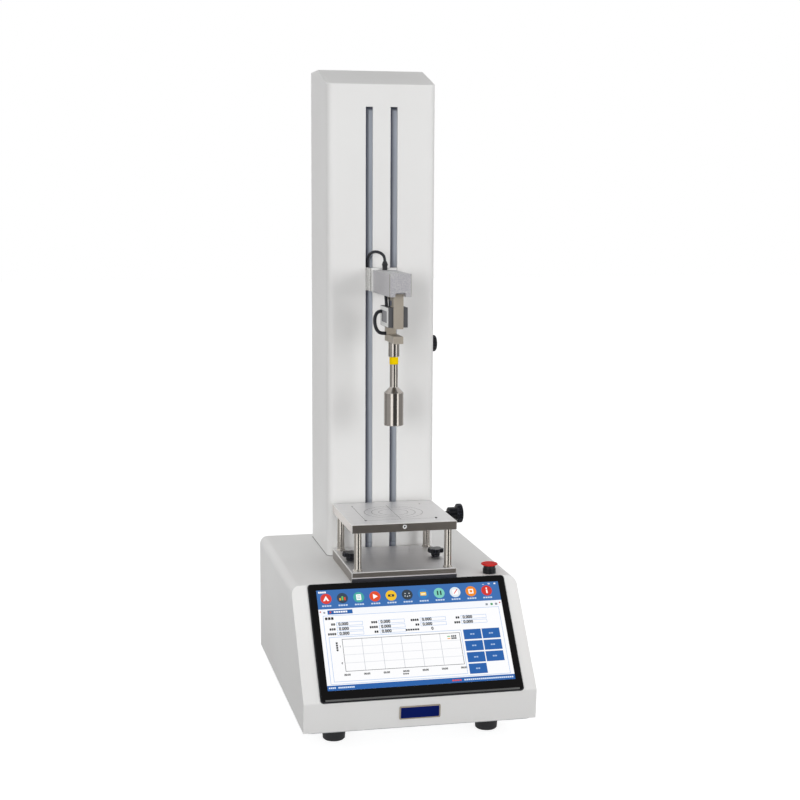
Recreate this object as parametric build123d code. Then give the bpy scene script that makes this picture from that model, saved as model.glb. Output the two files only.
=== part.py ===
from build123d import *
import os
from math import atan2, cos, degrees, hypot, pi, radians, sin, tan

# Food texture analyzer: a bench instrument that presses a probe into a food
# sample on a platform. Millimetres, +Z up, the operator stands at -Y and +X is
# the operator's right. The origin is on the floor under the base's centre.

# Base housing
BASE_W = 276.0            # width over the side walls
BASE_D = 376.0            # depth from the display lip to the back wall
BASE_TOP = 177.0          # height of the flat top above the floor
BASE_WALL = 3.0           # thickness of the moulded housing
BASE_ROUND = 10.0         # rounding of the top and back edges
LIP_Z = 62.5              # height of the lip between front skirt and display slope
LIP_ROUND = 3.0
SKIRT_LEAN = 3.0          # the skirt's lower edge stands this far behind the lip
SLOPE_RUN = BASE_D / 4 - 1.5   # depth that the display slope takes
SLOPE_TOP_Y = SLOPE_RUN - BASE_D / 2
SKIRT_GAP = 2.0           # height of the base plate's rim below the skirt
FLANGE_W = 12.0           # inward flange that the base plate is screwed to
FLANGE_T = 2.5

# Base plate, feet and screws
PLATE_T = 3.0
PLATE_CLEAR = 0.6         # gap between the base plate and the housing wall
FOOT_H = 25.0
FOOT_R_TOP = 14.6
FOOT_R_LOW = 13.2
FOOT_FROM_SIDE = 45.0     # from the base's sides and ends to the feet's middles
FOOT_FROM_END = 57.0
FOOT_X = BASE_W / 2 - FOOT_FROM_SIDE
FOOT_Y = BASE_D / 2 - FOOT_FROM_END
FOOT_SCREW_R = 2.5
FOOT_RECESS_R = 6.0
FOOT_RECESS_H = 11.0
SCREW_R = 2.0             # M4 pan-head screws of the base plate and rear cover
SCREW_HEAD_R = 3.7
SCREW_HEAD_H = 2.2
SCREW_LEN = 7.5
SCREW_CLEAR = 0.15
FLANGE_SCREW_END = 38.0   # from the base's ends to the outer flange screws
FLANGE_SCREW_Y = (FLANGE_SCREW_END - BASE_D / 2, 0.0, BASE_D / 2 - FLANGE_SCREW_END)

# Display on the slope; the second coordinate runs up the slope from the lip
FRAME_BESIDE = 17.5       # housing left at each side of the display's frame
FRAME_LAP = 0.9           # how far the frame laps over the lip below
FRAME_W = BASE_W - 2 * FRAME_BESIDE
FRAME_H = hypot(SLOPE_RUN, BASE_TOP - LIP_Z) + FRAME_LAP
FRAME_X = 2.0             # the module sits a little right of the centre
FRAME_START = -FRAME_LAP
FRAME_T = 1.4
FRAME_RIM = 5.2
GLASS_INSET = 0.8
GLASS_T = 1.1
GLASS_ROUND = 4.0
LCD_BESIDE = 8.5          # black border left and right of the panel
LCD_ENDS = 21.1           # black border above and below it, together
LCD_W = FRAME_W - 2 * LCD_BESIDE
LCD_H = FRAME_H - LCD_ENDS
LCD_T = 9.0
LCD_X = 2.4
LCD_START = 12.4
CUTOUT_CLEAR = 1.0

# Bare plate on the front skirt
TAG_W = 48.5
TAG_H = 15.8
TAG_X = -2.1
TAG_T = 1.2
TAG_ROUND = 1.5
TAG_Z = 44.5

# Emergency stop
ESTOP_X = BASE_W / 2 - 28.5
ESTOP_Y = SLOPE_TOP_Y + 15.7
ESTOP_COLLAR_R = 8.0
ESTOP_COLLAR_H = 6.2
ESTOP_WELL = 0.6          # floor of the collar's well above the base
ESTOP_NECK_R = 7.2        # the stem's neck slides down into the well
ESTOP_NECK = (3.8, 9.25)  # foot and top of the neck above the base at rest
ESTOP_BARREL_R = 7.8
ESTOP_BARREL_L = 17.0
ESTOP_NUT_R = 11.0
ESTOP_NUT_H = 5.0
ESTOP_STEM_R = 3.4
ESTOP_HEAD_R = 10.2
ESTOP_HEAD_H = 2.9
ESTOP_SKIRT_R = 7.5       # lower edge of the flared head
ESTOP_RIM_R = 9.1         # inner edge of the rounded rim on top
ESTOP_DISH_R = 8.0        # flat bottom of the shallow dish in the top
ESTOP_DISH_H = 0.6
ESTOP_HEAD_GAP = 0.15     # between the neck and the head
ESTOP_PIN = 0.9           # the stem's pin above its neck
ESTOP_BLOCK = 19.0
ESTOP_BLOCK_H = 30.0

# Rear panel, set back in the housing, and its items as seen from behind
PANEL_X = (26.0 - BASE_W / 2, BASE_W / 2 - 40.0)
PANEL_Z = (50.0, 90.0)
PANEL_INSET = 4.4
INLET_X = PANEL_X[0] + 30.0
INLET_Z = 70.0
INLET_W = 27.0
INLET_H = 20.0
INLET_FLANGE_W = 48.0
INLET_FLANGE_H = 23.0
INLET_DEPTH = 18.0
INLET_PIN_L = 8.5
SWITCH_X = PANEL_X[0] + 76.0
SWITCH_Z = 70.0
SWITCH_W = 19.0
SWITCH_H = 13.0
SWITCH_RIM = 1.6
SWITCH_DEPTH = 14.0
SWITCH_TILT = 10.0        # the rocker leans this far each way from level
SWITCH_PIVOT = 1.4        # the pivot pin's depth below the panel's face
SWITCH_PIN_R = 1.2
PORT_X = PANEL_X[1] - 24.0
PORT_Z = 70.0
PORT_W = 30.8
PORT_H = 12.5
PANEL_T = 1.6             # flange thickness of the rear items

# Electronics
SUPPLY_X = (18.0 - BASE_W / 2, -38.0)   # between the side wall and the motor
SUPPLY_Y = (28.0, BASE_D / 2 - 32.0)
SUPPLY_H = 38.0
SUPPLY_LIFT = 7.0
VENT_PITCH = 14.0
VENT_W = 4.0
BOARD_X = (37.0, BASE_W / 2 - 17.0)
BOARD_Y = (29.0, BASE_D / 2 - 33.0)
BOARD_T = 1.6
BOARD_LIFT = 8.0

# Column
COLUMN_W = 138.2
COLUMN_D = 116.8
COLUMN_SET = 26.5         # from the column's back to the base's back
COLUMN_BACK = BASE_D / 2 - COLUMN_SET
COLUMN_FRONT = COLUMN_BACK - COLUMN_D
COLUMN_TOP = 790.8
TOP_FALL = 20.8           # how far the sloped top falls to the front
COLUMN_FRONT_TOP = COLUMN_TOP - TOP_FALL
RIDGE_Y = COLUMN_FRONT + 69.7   # where the sloped top meets the flat top
COLUMN_WALL = 2.5
COLUMN_ROUND = 9.0
COVER_EDGE = 2.0
COVER_GAP = 0.2
SLOT_X = 15.7             # centre of each front slot from the middle
SLOT_W = 9.0
SLOT_HEAD = 27.6          # solid wall left above the slots
SLOT_TOP = COLUMN_FRONT_TOP - SLOT_HEAD
SLOT_FOOT = 9.0           # solid wall left under the slots

# Column frame, rods and screw
CARRIAGE_W = 0.73 * COLUMN_W
ROD_X = 0.34 * CARRIAGE_W
AXIS_Y = COLUMN_FRONT + 55.3
ROD_R = 0.08 * CARRIAGE_W
PLATE_GAP = 6.5           # from the column's sides to the frame's plates
SPINE_GAP = 8.5
FRAME_PLATE_W = COLUMN_W - 2 * PLATE_GAP
FRAME_PLATE_FRONT = COLUMN_FRONT + 7.3
FRAME_LOW_T = 14.0
FRAME_TOP_GAP = 38.8      # from the column's top to the underside of the frame's top plate
FRAME_TOP_Z = COLUMN_TOP - FRAME_TOP_GAP
FRAME_TOP_T = 12.0
SPINE_W = COLUMN_W - 2 * SPINE_GAP
SPINE_T = 8.0
SPINE_IN = 5.5            # from the column's back face to the spine's
SPINE_BACK = COLUMN_BACK - SPINE_IN
WINDOW_SIDE = 22.0        # left at each side of the spine's windows
WINDOW_H = 0.132          # height, first middle and pitch as shares of the spine's height
WINDOW_FIRST = 0.16
WINDOW_PITCH = 0.223
STRIP_W = 16.0
STRIP_T = 1.5
STRIP_Y = COLUMN_FRONT + 10.3
LEAD_R = 8.0
JOURNAL_R = 6.0
RUN_CLEAR = 0.05          # radial clearance of running fits
SEAT_CLEAR = 0.02         # radial clearance of seated fits
BEARING_R = 16.0
BEARING_H = 14.0
UPPER_BEARING_R = 14.0
NUT_BODY_R = 0.14 * CARRIAGE_W
NUT_FLANGE_R = 0.24 * CARRIAGE_W
NUT_FLANGE_H = 10.0
NUT_BODY_H = 42.0

# Motor under the column
MOTOR_SIDE = 57.0
MOTOR_H = 76.0
MOTOR_TOP = 120.0
MOTOR_CORNER = 5.0
MOTOR_SHAFT_R = 4.0
MOTOR_SHAFT_L = 25.0
MOTOR_PLATE = 70.0
MOTOR_PLATE_T = 6.0
MOTOR_POST_R = 4.5
MOTOR_POST_AT = 29.0
PILOT_R = 19.0
COUPLING_R = 13.0
COUPLING_H = 36.0
COUPLING_Z = 128.0
SHAFT_HOLE_R = 18.0

# Carriage inside the column
CARRIAGE_D = 44.0
CARRIAGE_Z = 490.0
CARRIAGE_H = 76.0
BUSH_R = 0.14 * CARRIAGE_W
BUSH_L = 36.0

# Sample platform
PLATFORM_BEHIND = 10.2    # from its back edge to the column
PLATFORM_AHEAD = 1.0      # from its front edge to the top of the display slope
PLATFORM_W = COLUMN_FRONT - PLATFORM_BEHIND - SLOPE_TOP_Y - PLATFORM_AHEAD
PROBE_Y = COLUMN_FRONT - PLATFORM_BEHIND - PLATFORM_W / 2
LOWER_T = 12.0
TOP_T = 10.5
PLATFORM_TOP = 247.0
PLATFORM_EDGE = 0.8
POST_R = 4.5
POST_INSET = 9.0
POST_FOOT_R = 6.0
POST_FOOT_H = 2.5
POST_SCREW_R = 2.5
POST_SCREW_HEAD_R = 4.5
POST_SCREW_HEAD_H = 5.0
POST_SCREW_L = 24.0
FIXTURE_AT = PLATFORM_W / 2 - 21.0   # tapped holes from the platform's centre
FIXTURE_R = 1.65
FRONT_SCREW_R = 2.5
FRONT_SCREW_L = 9.0
PLATFORM_HOLE_Z = 4.7     # side and front holes below the plate's top face

# Crosshead bracket and arm
ARM_Z = 514.5
ARM_H = 27.5
ARM_W = 27.0
ARM_FRONT = PROBE_Y - 36.0
ARM_EDGE = 0.8
BRACKET_W = 34.0
BRACKET_GAP = 2.2         # between the bracket's block and the column
BRACKET_D = 13.5
BRACKET_LOW = 1.0         # the bracket's foot above the arm's, and its top above the arm's
BRACKET_RISE = 2.0
BRACKET_BACK = COLUMN_FRONT - BRACKET_GAP
BRACKET_FRONT = BRACKET_BACK - BRACKET_D
BRACKET_Z = (ARM_Z + BRACKET_LOW, ARM_Z + ARM_H + BRACKET_RISE)
LEG_T = 4.0
JOG_IN = 4.3              # from the column's front face to the legs' jog
JOG_Y = COLUMN_FRONT + JOG_IN
JOG_T = 4.0
REAR_LEG_IN = 26.0        # inner face of the rear legs, outside the dust strips
REAR_LEG_T = 7.0
GROOVE_CLEAR = 0.3
GROOVE_H = 3.0
GROOVE_END = PROBE_Y + 27.0
POCKET_END = PROBE_Y - 25.6  # the groove is higher in front of the load cell
POCKET_H = 2.0

# Load cell, hung under the arm on the probe axis
CELL_T = 12.0
CELL_D = 50.8
CELL_H = 60.0
CELL_BEAM = 8.8           # height of the top and bottom limbs
CELL_SLIT = 9.0
CELL_POST = 11.0          # uncut end of each slit
CELL_HOLE_R = 11.0
COVER_T = 6.0
COVER_D = 46.0
COVER_H = 24.0
COVER_Z = 477.0
BOLT_R = 4.0
BOLT_HEAD_R = 6.0
BOLT_HEAD_H = 5.0
COUNTERBORE_R = 6.4
COUNTERBORE_H = 5.3
SOCKET_R = 2.9

# Probe and its adaptor
ADAPTOR_R = 6.8
ADAPTOR_H = 18.0
SPIGOT_R = 4.0
SPIGOT_L = 7.0
RING_R = 5.4
RING_H = 9.0
PROBE_ROD_R = 5.0
PROBE_ROD_L = 27.9
PROBE_CONE_H = 7.0
PROBE_R = 12.0
PROBE_H = 40.1
PROBE_SPIGOT_L = 16.0
PROBE_EDGE = 0.6

# Leads
BOOT_Y = BRACKET_FRONT - 5.0
BOOT_H = 11.0
BOOT_R = 3.2
CABLE_R = 1.8
THICK_LEAD_R = 2.0
THIN_LEAD_R = 1.0
CABLE_FOOT = (-17.0, COLUMN_FRONT + 6.3)

# Knobs
CLAMP_HEAD_R = 11.8
CLAMP_HEAD_T = 7.0
CLAMP_HUB_R = 7.9
CLAMP_HUB_L = 11.0
CLAMP_STAND = 4.5         # bare stud between plate and hub
CLAMP_STUD_L = 22.0
LIMIT_HEAD_R = 10.8
LIMIT_HEAD_T = 6.0
LIMIT_HUB_L = 7.0
LIMIT_DOME = 3.2          # rounding of the head's outer edge
KNOB_EDGE = 0.9
CLAMP_DOME = 1.6
STUD_R = 3.0
BASE_KNOB_X = PLATFORM_W / 2 - 10.5
BASE_KNOB_HEAD_R = 10.2
BASE_KNOB_HEAD_T = 5.0
BASE_KNOB_HUB_R = 5.6
BASE_KNOB_HUB_L = 5.0
BASE_KNOB_STUD_L = 26.0
INSERT_R = 6.5
INSERT_H = 12.0

# Travel limit stop in the column's right wall
LIMIT_Y = AXIS_Y - 8.0
LIMIT_Z = 443.0
LIMIT_SLOT_W = 7.0
LIMIT_SLOT_LOW = 88.0     # from the base's top to the slot's foot
LIMIT_SLOT_HEAD = 149.0   # from the column's front top down to the slot's top
LIMIT_SLOT_Z = (BASE_TOP + LIMIT_SLOT_LOW, COLUMN_FRONT_TOP - LIMIT_SLOT_HEAD)
LIMIT_BLOCK = (8.0, 20.0, 20.0)
LIMIT_GAP = 0.5
SENSOR_T = 5.5

# Worked out from the sizes above
FRONT_Y = -BASE_D / 2
BACK_Y = BASE_D / 2
PANEL_Y = BACK_Y - PANEL_INSET
SKIRT_Z = FOOT_H + SKIRT_GAP
SLOPE_ANGLE = atan2(BASE_TOP - LIP_Z, SLOPE_RUN)
FLOOR_IN = FOOT_H + PLATE_T
LOWER_TOP = BASE_TOP + LOWER_T
TOP_UNDER = PLATFORM_TOP - TOP_T
FRAME_FLOOR = BASE_TOP + FRAME_LOW_T
CELL_TOP = ARM_Z + GROOVE_H
CELL_LOW = CELL_TOP - CELL_H
ARM_TOP = ARM_Z + ARM_H
RING_TOP = CELL_LOW - ADAPTOR_H
RING_LOW = RING_TOP - RING_H
SLOPE = Plane(origin=(0, FRONT_Y, LIP_Z), x_dir=(1, 0, 0),
              z_dir=(0, -sin(SLOPE_ANGLE), cos(SLOPE_ANGLE)))
LEAN_ANGLE = atan2(SKIRT_LEAN, LIP_Z - SKIRT_Z)
SIDES = (-1, 1)


def block(x, y, z):
    """A box given by its low and high limits along each axis."""
    size = [b - a for a, b in (x, y, z)]
    middle = [(a + b) / 2 for a, b in (x, y, z)]
    return Pos(*middle) * Box(*size)


def upright(x, y, low, high, radius):
    """A vertical cylinder between two heights."""
    return Pos(x, y, (low + high) / 2) * Cylinder(radius, high - low)


def along_x(low, high, y, z, radius):
    return Pos((low + high) / 2, y, z) * Rot(0, 90, 0) * Cylinder(radius, high - low)


def along_y(x, low, high, z, radius):
    return Pos(x, (low + high) / 2, z) * Rot(90, 0, 0) * Cylinder(radius, high - low)


def turned(points):
    """A solid of revolution about Z from (radius, height) points."""
    outline = Plane.XZ * make_face(Polyline(*points, close=True))
    return revolve(outline, Axis.Z)


def on_slope(x, up, out):
    """A place on the display slope: across, up the slope, and out of it."""
    return SLOPE.location * Pos(x, up, out)


def save(name, *shapes):
    """Write one node, which may be a group of separate solids."""
    solids = [solid for shape in shapes for solid in shape.solids()]
    body = solids[0] if len(solids) == 1 else Compound(solids)
    export_step(body, f"parts/{name}.step")


# Base housing: one moulded shell, open below
def housing_form(inset):
    """The outer form, or the form of its hollow when inset by the wall."""
    outline = Plane.YZ * make_face(Polyline(
        (FRONT_Y + SKIRT_LEAN, SKIRT_Z), (FRONT_Y, LIP_Z), (SLOPE_TOP_Y, BASE_TOP),
        (BACK_Y, BASE_TOP), (BACK_Y, SKIRT_Z), close=True))
    if inset:
        outline = offset(outline, -inset, kind=Kind.INTERSECTION)
    form = extrude(outline, BASE_W / 2 - inset, both=True)
    sides = form.edges().filter_by(Axis.Y).group_by(Axis.Z)[-1]
    backs = form.edges().filter_by(Axis.Z).group_by(Axis.Y)[-1]
    crest = form.edges().filter_by(Axis.X).group_by(Axis.Z)[-1].sort_by(Axis.Y)[-1]
    form = fillet(list(sides) + list(backs) + [crest], BASE_ROUND - inset)
    if not inset:
        lip = [edge for edge in form.edges().filter_by(Axis.X)
               if abs(edge.center().Z - LIP_Z) < 0.1]
        form = fillet(lip, LIP_ROUND)
    return form


def base_housing():
    shell = housing_form(0) - housing_form(BASE_WALL)
    # the hollow runs out through the open underside
    inner = BASE_W / 2 - BASE_WALL
    shell -= block((-inner, inner), (FRONT_Y + SKIRT_LEAN + BASE_WALL, BACK_Y - BASE_WALL),
                   (SKIRT_Z - 1, SKIRT_Z + BASE_WALL + 1))
    for side in SIDES:
        flange = block((inner - FLANGE_W, inner + 1), (FLANGE_SCREW_Y[0] - 15, FLANGE_SCREW_Y[-1] + 15),
                       (FLOOR_IN, FLOOR_IN + FLANGE_T))
        shell += flange if side > 0 else mirror(flange, Plane.YZ)
        for y in FLANGE_SCREW_Y:
            shell -= upright(side * (inner - FLANGE_W / 2), y, FLOOR_IN - 1, FLOOR_IN + 9,
                             SCREW_R + SCREW_CLEAR)
    # threaded insert bosses for the two platform knobs
    for side in SIDES:
        x = side * BASE_KNOB_X
        shell += upright(x, PROBE_Y, BASE_TOP - BASE_WALL - INSERT_H, BASE_TOP - 1, INSERT_R)
        shell -= upright(x, PROBE_Y, BASE_TOP - INSERT_H - 9, BASE_TOP + 1, STUD_R + RUN_CLEAR)
    window = (FRAME_W - 2 * FRAME_RIM, FRAME_H - 2 * FRAME_RIM)
    shell -= on_slope(FRAME_X, FRAME_START + FRAME_H / 2, 0) * Box(window[0], window[1], 5 * BASE_WALL)
    shell -= upright(ESTOP_X, ESTOP_Y, BASE_TOP - 12, BASE_TOP + 1, ESTOP_BARREL_R + SCREW_CLEAR)
    shell -= upright(0, AXIS_Y, BASE_TOP - 12, BASE_TOP + 1, SHAFT_HOLE_R)
    rim = BASE_WALL
    shell += block((PANEL_X[0] - rim, PANEL_X[1] + rim), (PANEL_Y - rim, BACK_Y - 1),
                   (PANEL_Z[0] - rim, PANEL_Z[1] + rim))
    shell -= block(PANEL_X, (PANEL_Y, BACK_Y + 1), PANEL_Z)
    through = (PANEL_Y - rim - 1, PANEL_Y + 1)
    for x, z, w, h in ((INLET_X, INLET_Z, INLET_W, INLET_H), (SWITCH_X, SWITCH_Z, SWITCH_W, SWITCH_H),
                       (PORT_X, PORT_Z, PORT_W - 12, PORT_H - 2)):
        shell -= block((x - w / 2, x + w / 2), through, (z - h / 2, z + h / 2))
    return shell


def base_plate():
    inset = BASE_WALL + PLATE_CLEAR
    half = BASE_W / 2 - inset
    plate = block((-half, half), (FRONT_Y + SKIRT_LEAN + inset, BACK_Y - inset), (FOOT_H, FLOOR_IN))
    plate = fillet(plate.edges().filter_by(Axis.Z), BASE_ROUND - BASE_WALL)
    for x in SIDES:
        for y in SIDES:
            plate -= upright(x * FOOT_X, y * FOOT_Y, FOOT_H - 1, FLOOR_IN + 1, FOOT_SCREW_R + SCREW_CLEAR)
        for y in FLANGE_SCREW_Y:
            plate -= upright(x * (BASE_W / 2 - BASE_WALL - FLANGE_W / 2), y, FOOT_H - 1, FLOOR_IN + 1,
                             SCREW_R + SCREW_CLEAR)
    return plate


def pan_screw():
    """An M4 pan-head screw, head up, its shank pointing down from z = 0."""
    screw = Cylinder(SCREW_R, SCREW_LEN, align=(Align.CENTER, Align.CENTER, Align.MAX))
    head = Cylinder(SCREW_HEAD_R, SCREW_HEAD_H, align=(Align.CENTER, Align.CENTER, Align.MIN))
    screw += fillet(head.edges().group_by(Axis.Z)[-1], 0.8 * SCREW_HEAD_H / 2)
    return screw - Pos(0, 0, SCREW_HEAD_H) * Box(4.4, 0.9, 1.4)


def rubber_feet():
    feet = []
    for x in SIDES:
        for y in SIDES:
            foot = turned([(0, 0), (FOOT_R_LOW - 1.5, 0), (FOOT_R_LOW, 1.5), (FOOT_R_TOP, FOOT_H - 3),
                           (FOOT_R_TOP, FOOT_H), (0, FOOT_H)])
            foot -= upright(0, 0, -1, FOOT_RECESS_H, FOOT_RECESS_R)
            foot -= upright(0, 0, -1, FOOT_H + 1, FOOT_SCREW_R + SCREW_CLEAR)
            feet.append(Pos(x * FOOT_X, y * FOOT_Y, 0) * foot)
    return feet


def foot_screws():
    """A cap screw up through each foot and plate, with its nut above."""
    parts = []
    for x in SIDES:
        for y in SIDES:
            head = upright(0, 0, FOOT_RECESS_H - 4, FOOT_RECESS_H, FOOT_SCREW_R * 1.8)
            head -= upright(0, 0, FOOT_RECESS_H - 5, FOOT_RECESS_H - 2, FOOT_SCREW_R * 0.9)
            screw = head + upright(0, 0, FOOT_RECESS_H, FLOOR_IN + 5, FOOT_SCREW_R)
            nut = Pos(0, 0, FLOOR_IN + 2) * extrude(RegularPolygon(FOOT_SCREW_R * 1.9, 6), 2, both=True)
            nut -= upright(0, 0, FLOOR_IN - 1, FLOOR_IN + 6, FOOT_SCREW_R + SEAT_CLEAR)
            parts += [Pos(x * FOOT_X, y * FOOT_Y, 0) * screw, Pos(x * FOOT_X, y * FOOT_Y, 0) * nut]
    return parts


# Display
def display_frame():
    frame = on_slope(FRAME_X, FRAME_START + FRAME_H / 2, FRAME_T / 2) * Box(FRAME_W, FRAME_H, FRAME_T)
    frame = fillet(corner_edges(frame, FRAME_T), GLASS_ROUND)
    collar = Box(FRAME_W - 2 * FRAME_RIM - 2 * CUTOUT_CLEAR, FRAME_H - 2 * FRAME_RIM - 2 * CUTOUT_CLEAR,
                 BASE_WALL + 4)
    frame += on_slope(FRAME_X, FRAME_START + FRAME_H / 2, -(BASE_WALL + 4) / 2) * collar
    return frame - on_slope(LCD_X, LCD_START + LCD_H / 2, 0) * Box(LCD_W + 0.4, LCD_H + 0.4, 4 * LCD_T)


def corner_edges(plate, thickness):
    """The four short edges of a thin plate, which run through its thickness."""
    return [edge for edge in plate.edges() if abs(edge.length - thickness) < 1e-4]


def touch_glass():
    width, height = FRAME_W - 2 * GLASS_INSET, FRAME_H - 2 * GLASS_INSET
    place = on_slope(FRAME_X, FRAME_START + FRAME_H / 2, FRAME_T + GLASS_T / 2)
    return fillet(corner_edges(place * Box(width, height, GLASS_T), GLASS_T), GLASS_ROUND - GLASS_INSET)


def lcd_module():
    """The panel, flush under the glass, and the driver case on its back."""
    panel = on_slope(LCD_X, LCD_START + LCD_H / 2, FRAME_T - LCD_T / 2) * Box(LCD_W, LCD_H, LCD_T)
    case = Box(LCD_W * 0.6, LCD_H * 0.6, 14)
    return panel + on_slope(LCD_X, LCD_START + LCD_H / 2, FRAME_T - LCD_T - 7) * case


def name_plate():
    y = FRONT_Y + SKIRT_LEAN * (LIP_Z - TAG_Z) / (LIP_Z - SKIRT_Z)
    plate = Box(TAG_W, TAG_T, TAG_H)
    plate = fillet(plate.edges().filter_by(Axis.Y), TAG_ROUND)
    return Pos(TAG_X, y, TAG_Z) * Rot(degrees(LEAN_ANGLE), 0, 0) * Pos(0, -TAG_T / 2, 0) * plate


# Emergency stop: the head turns on the stem, and both are pushed down
def estop_collar():
    high = BASE_TOP + ESTOP_COLLAR_H
    collar = upright(ESTOP_X, ESTOP_Y, BASE_TOP, high, ESTOP_COLLAR_R)
    collar = chamfer(collar.edges().group_by(Axis.Z)[-1], 0.3)
    collar += upright(ESTOP_X, ESTOP_Y, BASE_TOP - ESTOP_BARREL_L, BASE_TOP, ESTOP_BARREL_R)
    collar -= upright(ESTOP_X, ESTOP_Y, BASE_TOP + ESTOP_WELL, high + 1, ESTOP_NECK_R + RUN_CLEAR)
    return collar - upright(ESTOP_X, ESTOP_Y, BASE_TOP - 40, high + 1, ESTOP_STEM_R + 2 * RUN_CLEAR)


def estop_nut():
    low = BASE_TOP - BASE_WALL - ESTOP_NUT_H
    nut = Pos(ESTOP_X, ESTOP_Y, low) * extrude(RegularPolygon(ESTOP_NUT_R, 6), ESTOP_NUT_H)
    return nut - upright(ESTOP_X, ESTOP_Y, low - 1, BASE_TOP, ESTOP_BARREL_R + SEAT_CLEAR)


def estop_block():
    high = BASE_TOP - ESTOP_BARREL_L
    half = ESTOP_BLOCK / 2
    body = block((ESTOP_X - half, ESTOP_X + half), (ESTOP_Y - half, ESTOP_Y + half),
                 (high - ESTOP_BLOCK_H, high))
    body = chamfer(body.edges().filter_by(Axis.Z), 1.5)
    return body - upright(ESTOP_X, ESTOP_Y, high - 16, high + 1, ESTOP_STEM_R + 2 * RUN_CLEAR)


def estop_stem():
    foot, top = BASE_TOP + ESTOP_NECK[0], BASE_TOP + ESTOP_NECK[1]
    stem = upright(ESTOP_X, ESTOP_Y, BASE_TOP - ESTOP_BARREL_L - 10, top, ESTOP_STEM_R)
    stem += upright(ESTOP_X, ESTOP_Y, foot, top, ESTOP_NECK_R)
    return stem + upright(ESTOP_X, ESTOP_Y, foot, top + ESTOP_PIN, ESTOP_STEM_R - 1)


def estop_head():
    """A head that flares out to a rounded rim, dished on top and bored for the stem's pin."""
    floor = ESTOP_HEAD_H - ESTOP_DISH_H
    side = ESTOP_HEAD_H - 0.13 * ESTOP_HEAD_R
    start, end = (ESTOP_RIM_R, ESTOP_HEAD_H), (ESTOP_HEAD_R, side)
    middle = (ESTOP_RIM_R + 0.75 * (ESTOP_HEAD_R - ESTOP_RIM_R), ESTOP_HEAD_H - 0.3 * (ESTOP_HEAD_H - side))
    outline = make_face(Polyline(end, (ESTOP_SKIRT_R, 0), (0, 0), (0, floor), (ESTOP_DISH_R, floor), start)
                        + ThreePointArc(start, middle, end))
    head = revolve(Plane.XZ * outline, Axis.Z)
    head -= upright(0, 0, -1, ESTOP_PIN + 0.1, ESTOP_STEM_R - 1 + RUN_CLEAR)
    return Pos(ESTOP_X, ESTOP_Y, BASE_TOP + ESTOP_NECK[1] + ESTOP_HEAD_GAP) * head


# Rear panel items
def power_inlet():
    body = block((-INLET_W / 2 + 0.3, INLET_W / 2 - 0.3), (-INLET_DEPTH, 0),
                 (-INLET_H / 2 + 0.3, INLET_H / 2 - 0.3))
    flange = block((-INLET_FLANGE_W / 2, INLET_FLANGE_W / 2), (0, PANEL_T),
                   (-INLET_FLANGE_H / 2, INLET_FLANGE_H / 2))
    body += fillet(flange.edges().filter_by(Axis.Y), 3)
    body -= block((-INLET_W / 2 + 1.6, INLET_W / 2 - 1.6), (PANEL_T - 14, PANEL_T + 1),
                  (-INLET_H / 2 + 1.6, INLET_H / 2 - 1.6))
    for side in SIDES:
        body -= along_y(side * (INLET_FLANGE_W / 2 - 4.2), -1, PANEL_T + 1, 0, 1.7)
    for x, z in ((-7, -1.5), (0, 2.5), (7, -1.5)):
        body += block((x - 1, x + 1), (PANEL_T - 14.5, PANEL_T - 14 + INLET_PIN_L), (z - 2, z + 2))
    return Pos(INLET_X, PANEL_Y, INLET_Z) * body


def switch_frame():
    half_w, half_h = SWITCH_W / 2, SWITCH_H / 2
    frame = block((-half_w + 0.2, half_w - 0.2), (-SWITCH_DEPTH, 0), (-half_h + 0.2, half_h - 0.2))
    frame += block((-half_w - SWITCH_RIM, half_w + SWITCH_RIM), (0, PANEL_T),
                   (-half_h - SWITCH_RIM, half_h + SWITCH_RIM))
    frame -= block((-half_w + 1, half_w - 1), (-7, PANEL_T + 1), (-half_h + 1, half_h - 1))
    frame -= upright(0, -SWITCH_PIVOT, -half_h - 1, half_h + 1, SWITCH_PIN_R + RUN_CLEAR)
    return Pos(SWITCH_X, PANEL_Y, SWITCH_Z) * frame


def switch_rocker():
    """A shallow V-shaped key on a pivot, resting on its off side."""
    half_w, half_h = SWITCH_W / 2 - 1.5, SWITCH_H / 2 - 1.4
    rise = half_w * tan(radians(SWITCH_TILT))
    outline = Plane.XY * make_face(Polyline((-half_w, -0.6), (half_w, -0.6), (half_w, 1.6 + rise), (0, 1.6),
                                            (-half_w, 1.6 + rise), close=True))
    key = extrude(outline, half_h, both=True)
    key += Cylinder(SWITCH_PIN_R, SWITCH_H - 0.8)
    return Pos(SWITCH_X, PANEL_Y - SWITCH_PIVOT, SWITCH_Z) * Rot(0, 0, SWITCH_TILT) * key


def serial_port():
    """A nine-way D connector with its two hexagonal jack posts."""
    plate = block((-PORT_W / 2, PORT_W / 2), (0, 1), (-PORT_H / 2, PORT_H / 2))
    plate = fillet(plate.edges().filter_by(Axis.Y), 1.5)
    nose = Polyline((-8.2, 3.9), (8.2, 3.9), (7.2, -3.9), (-7.2, -3.9), close=True)
    face = fillet(make_face(nose).vertices(), 1.4)
    plate += Plane.XZ.location * Pos(0, 0, -1) * Rot(0, 180, 0) * extrude(face, 5)
    plate += block((-8.8, 8.8), (-9, 0), (-4.8, 4.8))
    for side in SIDES:
        plate += Pos(side * 12.5, 1, 0) * Rot(-90, 0, 0) * extrude(RegularPolygon(2.7, 6), 4.5)
    for i in range(5):
        plate -= along_y(-5.5 + 2.75 * i, 4, 7, 1.4, 0.6)
    for i in range(4):
        plate -= along_y(-4.1 + 2.75 * i, 4, 7, -1.4, 0.6)
    return Pos(PORT_X, PANEL_Y, PORT_Z) * plate


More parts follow.
